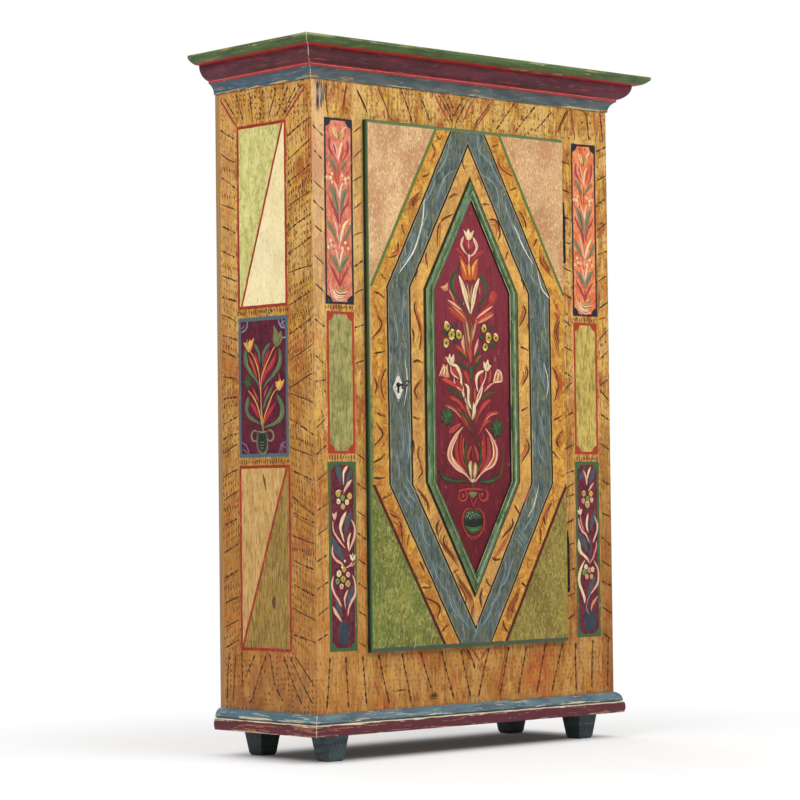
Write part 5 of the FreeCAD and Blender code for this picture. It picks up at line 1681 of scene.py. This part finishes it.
    def trim_paint(self, trim: Trim) -> bpy.types.Material:
        """Make the paint of a moulding: streaked along its length, banded by height and chipped."""
        s = Shader(trim.name)
        left, front = BODY.low[:2]
        shades = Cloud(trim.shade, 26, (3.4, 3.4, 0.6), trim.shift, (0.38, 0.64), 1, 4, 0.6)
        lights = Cloud(trim.light, 11, (5, 5, 0.5), trim.shift + 2, (0.56, 0.7), 0.55, 4, 0.62)
        base = s.clouds(trim.base, shades, lights)
        v = s.z + s.waver(30, trim.shift + 4, 5)
        base = s.mix(base, trim.cool or trim.base, (s.x < left - 1) * (0.45 if trim.cool else 0))
        for low, high, code in trim.bands:
            base = s.mix(base, code, v.between(low, high, 0.8))
        run = (s.x - (left - 38)) * (s.y < front - 2) - (s.y - (front - 30)) * (s.x < left - 12)
        off_mitre = abs(s.x - left - (s.y - front))
        for low, high, code, level in trim.chips:
            cloud = s.noise(14, (5.5, 5.5, 0.38), 5, 0.66, shift=low * 0.013 + level)
            cloud = cloud + s.waver(160, low, 0.3)
            if trim.mitre:
                cloud = cloud + (1 - off_mitre.rise(4, 110)) * (s.x < left + 23) * 0.05
            for start, end in trim.rubbed:
                cloud = cloud + run.between(start, end, 30) * 0.035
            base = s.mix(base, code, cloud.rise(level, level + 0.03) * v.between(low, high, 2))
        if trim.mitre:
            seam = (off_mitre < 1.1) * (s.x < left - 2)
            base = s.mix(base, "d9cfb4", seam * s.noise(9, shift=6).rise(0.38, 0.5))
        else:
            # The rear feet and the right feet are painted darker: painted shade.
            base = s.mix(base, "1a1a1a", ((s.y > 50) * 0.6).up((s.x > 0) * 0.4))
            wave = (s.x + s.y + s.z * 0.8) * 0.5 + s.noise(30, shift=211) * 4
            marks = wave.sine().rise(0.965, 0.995) * s.noise(19, shift=213).rise(0.46, 0.56)
            base = s.mix(base, "8d9a98", marks * 0.6)
        if trim.bare_top:
            ahead = self.grain(s, s.y, (5, 1, 1), s.x * 0)
            aside = self.grain(s, s.x, (1, 5, 1), s.x * 0)
            wood = s.mix(ahead, aside, abs(s.x) + s.y > front - left)
            base = s.mix(base, wood, s.z > trim.bare_top)
        height = s.noise(6, (4, 4, 0.6), 4, shift=trim.shift + 6)
        height = height + s.noise(17, (2.6, 2.6, 0.8), 5, 0.66, shift=trim.shift) * 0.8
        return s.finish(base, s.sheen(30, 9, 0.34), height, 0.35)

    def moulding_paint(self) -> bpy.types.Material:
        """Make the green of the door's raised moulding: pale lines of painted highlight along it, painted
        shade in a line along it, at its foot and in its groove, rubbed lighter in places.
        """
        s = Shader("moulding_paint")
        level = moulding_level(s)
        base = s.clouds("55703f", Cloud("3c5631", 20, 3, 131, (0.4, 0.64), 1, 4))
        rub = s.noise(6, 7, 4, 0.62, shift=133)
        rubbed = rub.rise(0.34, 0.52)
        # The two pale lines along the bead are painted highlight, broken up by the rubbed noise. The dark
        # line between them is painted shade. The last coat is rubbed paint.
        base = s.layers(base, ("93a486", level.between(143.5, 148, 1) * rubbed * 0.85),
                        ("8a9c7c", level.between(156.5, 160.5, 1) * rubbed * 0.8),
                        ("29381f", level.between(149.5, 152, 0.8) * 0.75),
                        ("a9ae8c", rub.rise(0.57, 0.66) * 0.5))
        base = s.clouds(base, Cloud("66806c", 40, 2, 134, (0.5, 0.62), 0.5))
        # Near-black at the inner and outer foot and in the groove by the inner lip: painted shade.
        foot = (1 - level.rise(133.6, 135.2)).up(level.rise(162.4, 163.8))
        groove = level.between(138, 139.6, 0.5) * 0.7
        # A pale inner lip on the right half only: painted highlight where it faces the light.
        inner = level.between(135, 138, 0.6) * s.noise(30, 3, shift=135).rise(0.4, 0.54)
        lit = inner * (s.x > MOULDING.middle(0)) * 0.85
        base = s.layers(base, ("1a1b15", foot.up(groove)), ("c6b48e", lit))
        return s.finish(base, s.sheen(30, 137, 0.34, 0.25), rub, 0.3)

    def iron(self, name: str, base: str, light: str, rough: float) -> bpy.types.Material:
        """Make forged iron: dark, uneven, brown in its pits and brighter where hands rub it."""
        s = Shader(name)
        colour = s.clouds(base, Cloud(light, 5, 1, 141, (0.46, 0.66), 1, 5, 0.62),
                          Cloud("5a3a26", 9, 1, 143, (0.58, 0.7), 0.6, 4))
        pits = s.noise(2.5, detail=4, shift=147)
        return s.finish(colour, s.sheen(6, 145, rough - 0.15), pits, 0.35, 0.75)

    def bright_plate(self) -> bpy.types.Material:
        """Make the pale keyhole plate: tinned iron, grey at its rim, painted dark round its keyhole as the
        keyhole's shade and the key's shadow.
        """
        s = Shader("bright_plate")
        across, up = s.x - PLATE.middle(0), s.z - KEY_HEIGHT
        edge = abs(across) * 0.9 + abs(s.z - PLATE.middle(2)) * 0.46
        base = s.clouds("ece8dc", Cloud("cfc8b8", 7, 1, 151, (0.42, 0.64), 1, 4))
        base = s.mix(base, "4b453c", edge.rise(15.6, 17.6) * 0.8)
        base = s.clouds(base, Cloud("7c6a50", 3, 1, 153, (0.6, 0.68), 0.7, 4))
        # Near-black round the keyhole and below it: painted shade of the keyhole and painted shadow of the
        # key.
        hole = 1 - (across * across + up * up).math("SQRT").rise(6.4, 7.4)
        slit_shade = (1 - abs(across).rise(3, 3.8)) * s.z.between(KEY_HEIGHT - 20, KEY_HEIGHT, 0.6)
        base = s.mix(base, "14110f", hole.up(slit_shade))
        return s.finish(base, s.sheen(6, 155, 0.3), s.noise(3, shift=157), 0.2, 0.15)


@dataclass(frozen=True)
class Trim:
    """A painted moulding's colours: body, bands and chips, each with the heights between which it lies.

    A chip's last number is the noise above which the paint is off. Above bare_top, if that isn't 0, the
    wood is bare. Cool is what the left side leans to. Rubbed lists stretches with more chips, by their
    distance from the front left corner, less than 0 on the side.
    """

    name: str
    base: str
    shade: str
    light: str
    shift: float
    bands: tuple[tuple[float, float, str], ...] = ()
    chips: tuple[tuple[float, float, str, float], ...] = ()
    mitre: bool = True
    bare_top: float = 0.0
    cool: str = ""
    rubbed: tuple[tuple[float, float], ...] = ()


# The trims by the word that their nodes' names start with.
TRIMS = {
    "cornice_cap": Trim(
        "green_cap", "58703f", "455838", "80904f", 161, ((1774, 1779.5, "b02f30"),),
        ((1777, 1802, "c3b888", 0.645), (1795, 1802, "8e9a62", 0.54), (1777, 1800, "8a5a40", 0.665)),
        bare_top=1799.4),
    "cornice_ovolo": Trim(
        "plum_ovolo", "682f3b", "4e272d", "824c50", 171,
        ((1776, 1779, "b8303a"), (1736, 1740.6, "a82c34")),
        ((1740, 1778, "c4a27c", 0.65), (1740, 1778, "8c3a3c", 0.64)),
        rubbed=((-190, -120), (50, 120), (560, 1100))),
    "cornice_cove": Trim(
        "blue_cove", "5f686a", "4b565a", "8f988c", 181,
        ((1733.5, 1741, "c0383c"), (1738, 1739.6, "e6a09a")),
        ((1705, 1734, "b4b496", 0.635), (1704, 1710, "c2ae7c", 0.56), (1705, 1734, "8a5a48", 0.65)),
        cool="3a6078", rubbed=((-90, 30), (560, 1100))),
    "plinth": Trim(
        "plinth_paint", "647b83", "4e6269", "98a8a2", 191,
        # The dark band just above the nose is painted shade in the groove there.
        ((64, 97.8, "612d37"), (99, 101.4, "37444a"), (94.6, 97.6, "cabda0")),
        ((101, 106, "d8cdb0", 0.56), (104, 124, "b4b294", 0.61), (66, 98, "c3a67c", 0.61),
         (66, 98, "a4532f", 0.62), (92, 98, "dccfb0", 0.54), (66, 71, "c9a98c", 0.545)),
        cool="587a8c", rubbed=((100, 280), (-320, -190), (-300, -210), (-140, -40))),
    "foot_": Trim(
        "foot_paint", "4c5c60", "38464a", "64767a", 201, (),
        ((0, 70, "8a8070", 0.64), (0, 9, "6e5c46", 0.56)), mitre=False),
}


class Carcass:
    """The box: two sides, two stiles, two rails, and the boards, bearers and shelves within."""

    body: str = "carcass"
    slot: str = "grain_paint"

    def dress(self, finishes: Finishes) -> None:
        """Finish the boards."""
        dress(named("side_", "stile_", "top_rail", "bottom_rail"), finishes.carcass_paint())
        dress(named("back_plank", "shelf_cleats"), finishes.bare_pine())
        dress(named("bearer", "bottom_board", "top_board", "shelf_lower", "shelf_middle", "shelf_upper",
                    "door_batten"), finishes.shelf_pine())

    def brush(self, paint: bpy.types.Material) -> None:
        """Paint the stiles, the rails and both sides."""
        front = Face((0, BODY.low[1], 0), (1, 0, 0), (0, -1, 0))
        posts = Brushwork("front_brushwork", front, self.body, self.slot)
        for motif, shift in ((FRONT_COMBING, (0, 0)), (TULIP_POST, (0, 0)), (TULIP_POST, POSTS_APART),
                             (VINE_LEFT, (0, 0)), (VINE_RIGHT, (0, 0))):
            posts.add(strokes(motif, shift))
        posts.build(paint)
        for name, sign in (("left", -1), ("right", 1)):
            face = Face((sign * BODY.high[0], 0, 0), (0, 1, 0), (sign, 0, 0))
            side = Brushwork(f"side_brushwork_{name}", face, self.body, self.slot)
            side.add(strokes(SIDE_COMBING))
            side.add(strokes(SIDE_BOUQUET))
            side.build(paint)


class Door:
    """The door: four boards, the raised six-sided moulding and the painting on them.

    Echoes are the arcs round a scroll: their size by its own, colour and width. Hairs are thin lines
    beside a pale streak, by their place from it. Both stay within a band, whose levels are given.
    """

    body: str = "door"
    slot: str = "door_paint"
    echo_kinds: tuple[tuple[float, str, float], ...] = (
        (0.52, "rust", 3.2), (1.3, "rust", 2.0), (1.6, "bark", 2.6), (1.95, "rust", 2.6),
        (2.3, "bark", 2.2))
    inner_gold: tuple[float, float] = (174, 205)
    outer_gold: tuple[float, float] = (303, 336)
    half_width: float = 333
    hair_places: tuple[tuple[float, float], ...] = ((5, 3), (-5, -2))
    hair_width: float = 1.2

    def dress(self, finishes: Finishes) -> None:
        """Finish the boards and the moulding."""
        dress(named("door_board"), finishes.door_paint())
        dress(named("moulding"), finishes.moulding_paint())

    def within(self, points: np.ndarray, low: float, high: float) -> bool:
        """Return whether all points lie between two levels of the six-sided figure."""
        level = figure_level(points[:, 0] - FIGURE_MIDDLE, points[:, 1])
        return bool(low < level.min() and level.max() < high)

    def echoes(self, scrolls: list[Stroke]) -> list[Stroke]:
        """Return smaller and larger arcs round each scroll, scaled about the middle of its chord.

        One stays where all its points lie within one gold band.
        """
        made = []
        for scroll in scrolls:
            middle = (scroll.points[0] + scroll.points[-1]) / 2
            for size, paint, width in self.echo_kinds:
                points = middle + (scroll.points - middle) * size
                inner = self.within(points, *self.inner_gold)
                outer = self.within(points, *self.outer_gold)
                if inner or outer and np.abs(points[:, 0]).max() < self.half_width:
                    made.append(Stroke(paint, width, Touch.SWELL, points))
        return made

    def hairs(self, streaks: list[Stroke]) -> list[Stroke]:
        """Return the thin lines beside each pale streak that lie within the blue band."""
        made = [Stroke("sky", self.hair_width, Touch.SWELL, streak.points + place)
                for streak in streaks if streak.paint == "mist" for place in self.hair_places]
        return [hair for hair in made if self.within(hair.points, GOLD_TO_BLUE + 1, BLUE_TO_GOLD - 2)]

    def brush(self, paint: bpy.types.Material) -> None:
        """Paint the bouquet, the scrolls on the gold bands and the streaks on the blue one."""
        face = Face((0, DOOR.low[1], 0), (1, 0, 0), (0, -1, 0))
        bouquet, scrolls, streaks = strokes(BOUQUET), strokes(SCROLLS), strokes(STREAKS)
        for name, *layers in (("door_bouquet", bouquet), ("door_scrolls", scrolls, self.echoes(scrolls)),
                              ("door_streaks", streaks, self.hairs(streaks))):
            work = Brushwork(name, face, self.body, self.slot)
            for painted in layers:
                work.add(painted)
            work.build(paint)


class Trims:
    """The cornice, the plinth and the four feet."""

    def dress(self, finishes: Finishes) -> None:
        """Finish each member in its own colour."""
        for start, trim in TRIMS.items():
            dress(named(start), finishes.trim_paint(trim))


class Ironwork:
    """The hinges, the lock, its keeper, the keyhole plate and the key."""

    def dress(self, finishes: Finishes) -> None:
        """Finish the metal."""
        iron = finishes.iron("wrought_iron", "1c1b1a", "3a3632", 0.55)
        dress(named("hinge", "lock", "keeper", "keyhole_plate_pins"), iron)
        dress(["keyhole_plate"], finishes.bright_plate())
        dress(["key"], finishes.iron("key_iron", "3a352f", "6a6258", 0.42))


@dataclass(frozen=True)
class Lamp:
    """A square soft lamp: its name, place and side in metres, and power in watts."""

    name: str
    spot: tuple[float, float, float]
    size: float
    power: float

    def hang(self, target: Vector) -> None:
        """Hang the lamp so that it faces the target."""
        data = bpy.data.lights.new(self.name, "AREA")
        data.shape, data.size, data.energy = "SQUARE", self.size, self.power
        lamp = add_object(self.name, data)
        lamp.location = self.spot
        lamp.rotation_euler = (target - Vector(self.spot)).to_track_quat("-Z", "Y").to_euler()


@dataclass(frozen=True)
class Studio:
    """A pale floor, soft lamps, a white surround and the camera. Lengths are metres."""

    lens: float = 127.5
    world: float = 0.46
    place: tuple[float, float, float] = (-5.07058, -5.51602, 0.65420)
    gaze: tuple[float, float, float] = (0.668395, 0.742990, 0.034832)
    roll: float = -0.0115
    target: tuple[float, float, float] = (0, 0, 0.9)
    lamps: tuple[Lamp, ...] = (Lamp("front_lamp", (0.6, -4.0, 4.2), 2.6, 145),
                               Lamp("side_lamp", (-4.2, -0.8, 4.0), 2.6, 118),
                               Lamp("back_lamp", (1.5, 4.5, 3.8), 3.0, 80))
    floor_radius: float = 14.0
    rings: int = 24
    spokes: int = 64

    def camera(self) -> None:
        """Set the camera up: its right, up and back axes come from its gaze and a small roll."""
        gaze = Vector(self.gaze).normalized()
        right = gaze.cross(Vector((0, 0, 1))).normalized()
        up = right.cross(gaze)
        turn, lift = math.cos(self.roll), math.sin(self.roll)
        axes = Matrix((right * turn + up * lift, up * turn - right * lift, -gaze)).transposed().to_4x4()
        data = bpy.data.cameras.new("camera")
        data.lens, data.sensor_width = self.lens, 36
        data.clip_start, data.clip_end = 0.1, 100
        camera = add_object("camera", data)
        camera.matrix_world = Matrix.Translation(self.place) @ axes
        bpy.context.scene.camera = camera

    def surround(self) -> None:
        """Make the surround white where it is seen and soft where it lights."""
        world = bpy.data.worlds.new("surround")
        bpy.context.scene.world = world
        world.use_nodes = True
        nodes, links = world.node_tree.nodes, world.node_tree.links
        path = nodes.new("ShaderNodeLightPath")
        seen = nodes.new("ShaderNodeMath")
        seen.operation = "MAXIMUM"
        links.new(path.outputs["Is Camera Ray"], seen.inputs[0])
        links.new(path.outputs["Is Transmission Ray"], seen.inputs[1])
        level = nodes.new("ShaderNodeMix")
        level.inputs[2].default_value, level.inputs[3].default_value = self.world, 1.0
        links.new(seen.outputs[0], level.inputs[0])
        links.new(level.outputs[0], nodes["Background"].inputs["Strength"])
        nodes["Background"].inputs["Color"].default_value = (1, 1, 1, 1)

    def floor(self) -> None:
        """Lay a round floor: a grid of rings and spokes, closer together towards the middle."""
        count = self.spokes
        rings = np.linspace(0.02, 1, self.rings) ** 1.6 * self.floor_radius
        far, turn = np.meshgrid(rings, np.linspace(0, 2 * np.pi, count, endpoint=False), indexing="ij")
        grid = np.stack([far * np.cos(turn), far * np.sin(turn), np.zeros_like(far)], 2).reshape(-1, 3)
        step, spoke = count * np.arange(self.rings - 1)[:, None], np.arange(count)
        after = (spoke + 1) % count
        quads = np.stack([step + spoke, step + count + spoke, step + count + after, step + after], 2)
        mesh = bpy.data.meshes.new("floor")
        mesh.from_pydata(grid, [], [tuple(quad) for quad in quads.reshape(-1, 4)] + [tuple(range(count))])
        floor = add_object("floor", mesh)
        mesh.materials.append(self.floor_white())

    def floor_white(self) -> bpy.types.Material:
        """Make the floor's white, which fades into the surround and has a painted shadow that darkens it
        under the cupboard.
        """
        s = Shader("floor_white")
        path = s.node("ShaderNodeLightPath").outputs
        rays = [Value(s, path[f"Is {ray} Ray"]) for ray in ("Camera", "Glossy", "Transmission")]
        seen = rays[0].up(rays[1]).up(rays[2])
        far_off = (s.x * s.x + s.y * s.y).math("SQRT").rise(620, 1700)
        grain = s.noise(300, shift=3) * 0.02
        s.feed(s.surface.inputs["Roughness"], 0.9)
        s.surface.inputs["Specular IOR Level"].default_value = 0.1
        depth_middle, half_depth = 45, 193
        # Under the cupboard the floor's colour is painted darker and cooler: a painted shadow.
        under = 1 - (abs(s.x) - BODY.high[0]).up(abs(s.y - depth_middle) - half_depth).rise(-90, 70)
        darker = (0.5, 0.46, 0.4)
        white_with_painted_shadow = {i: (seen * 0.16 + 0.80 + grain) * (1 - under * share) for i, share in enumerate(darker)}
        shade = s.node("ShaderNodeCombineColor", {}, white_with_painted_shadow)
        s.feed(s.surface.inputs["Base Color"], shade.outputs[0])
        glow = s.node("ShaderNodeEmission", {}, {"Color": "ffffff", "Strength": 1.0})
        share = (far_off * 0.62 + 0.38) * (1 - under * 0.95) * seen
        blend = s.node("ShaderNodeMixShader", {}, {0: share, 1: s.surface.outputs[0], 2: glow.outputs[0]})
        out = next(node for node in s.tree.nodes if node.type == "OUTPUT_MATERIAL")
        s.tree.links.new(blend.outputs[0], out.inputs["Surface"])
        return s.material

    def build(self) -> None:
        """Set up the room."""
        bpy.context.scene.view_settings.view_transform = "Standard"
        self.camera()
        for lamp in self.lamps:
            lamp.hang(Vector(self.target))
        self.surround()
        self.floor()


def main() -> None:
    """Build the room, then dress and paint the cupboard piece by piece."""
    logging.basicConfig(level=logging.INFO, format="%(name)s: %(message)s")
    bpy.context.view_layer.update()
    Studio().build()
    finishes = Finishes()
    carcass, door = Carcass(), Door()
    for part in (carcass, door, Trims(), Ironwork()):
        part.dress(finishes)
    paint = finishes.brush_paint()
    carcass.brush(paint)
    door.brush(paint)


if __name__ == "__main__":
    main()
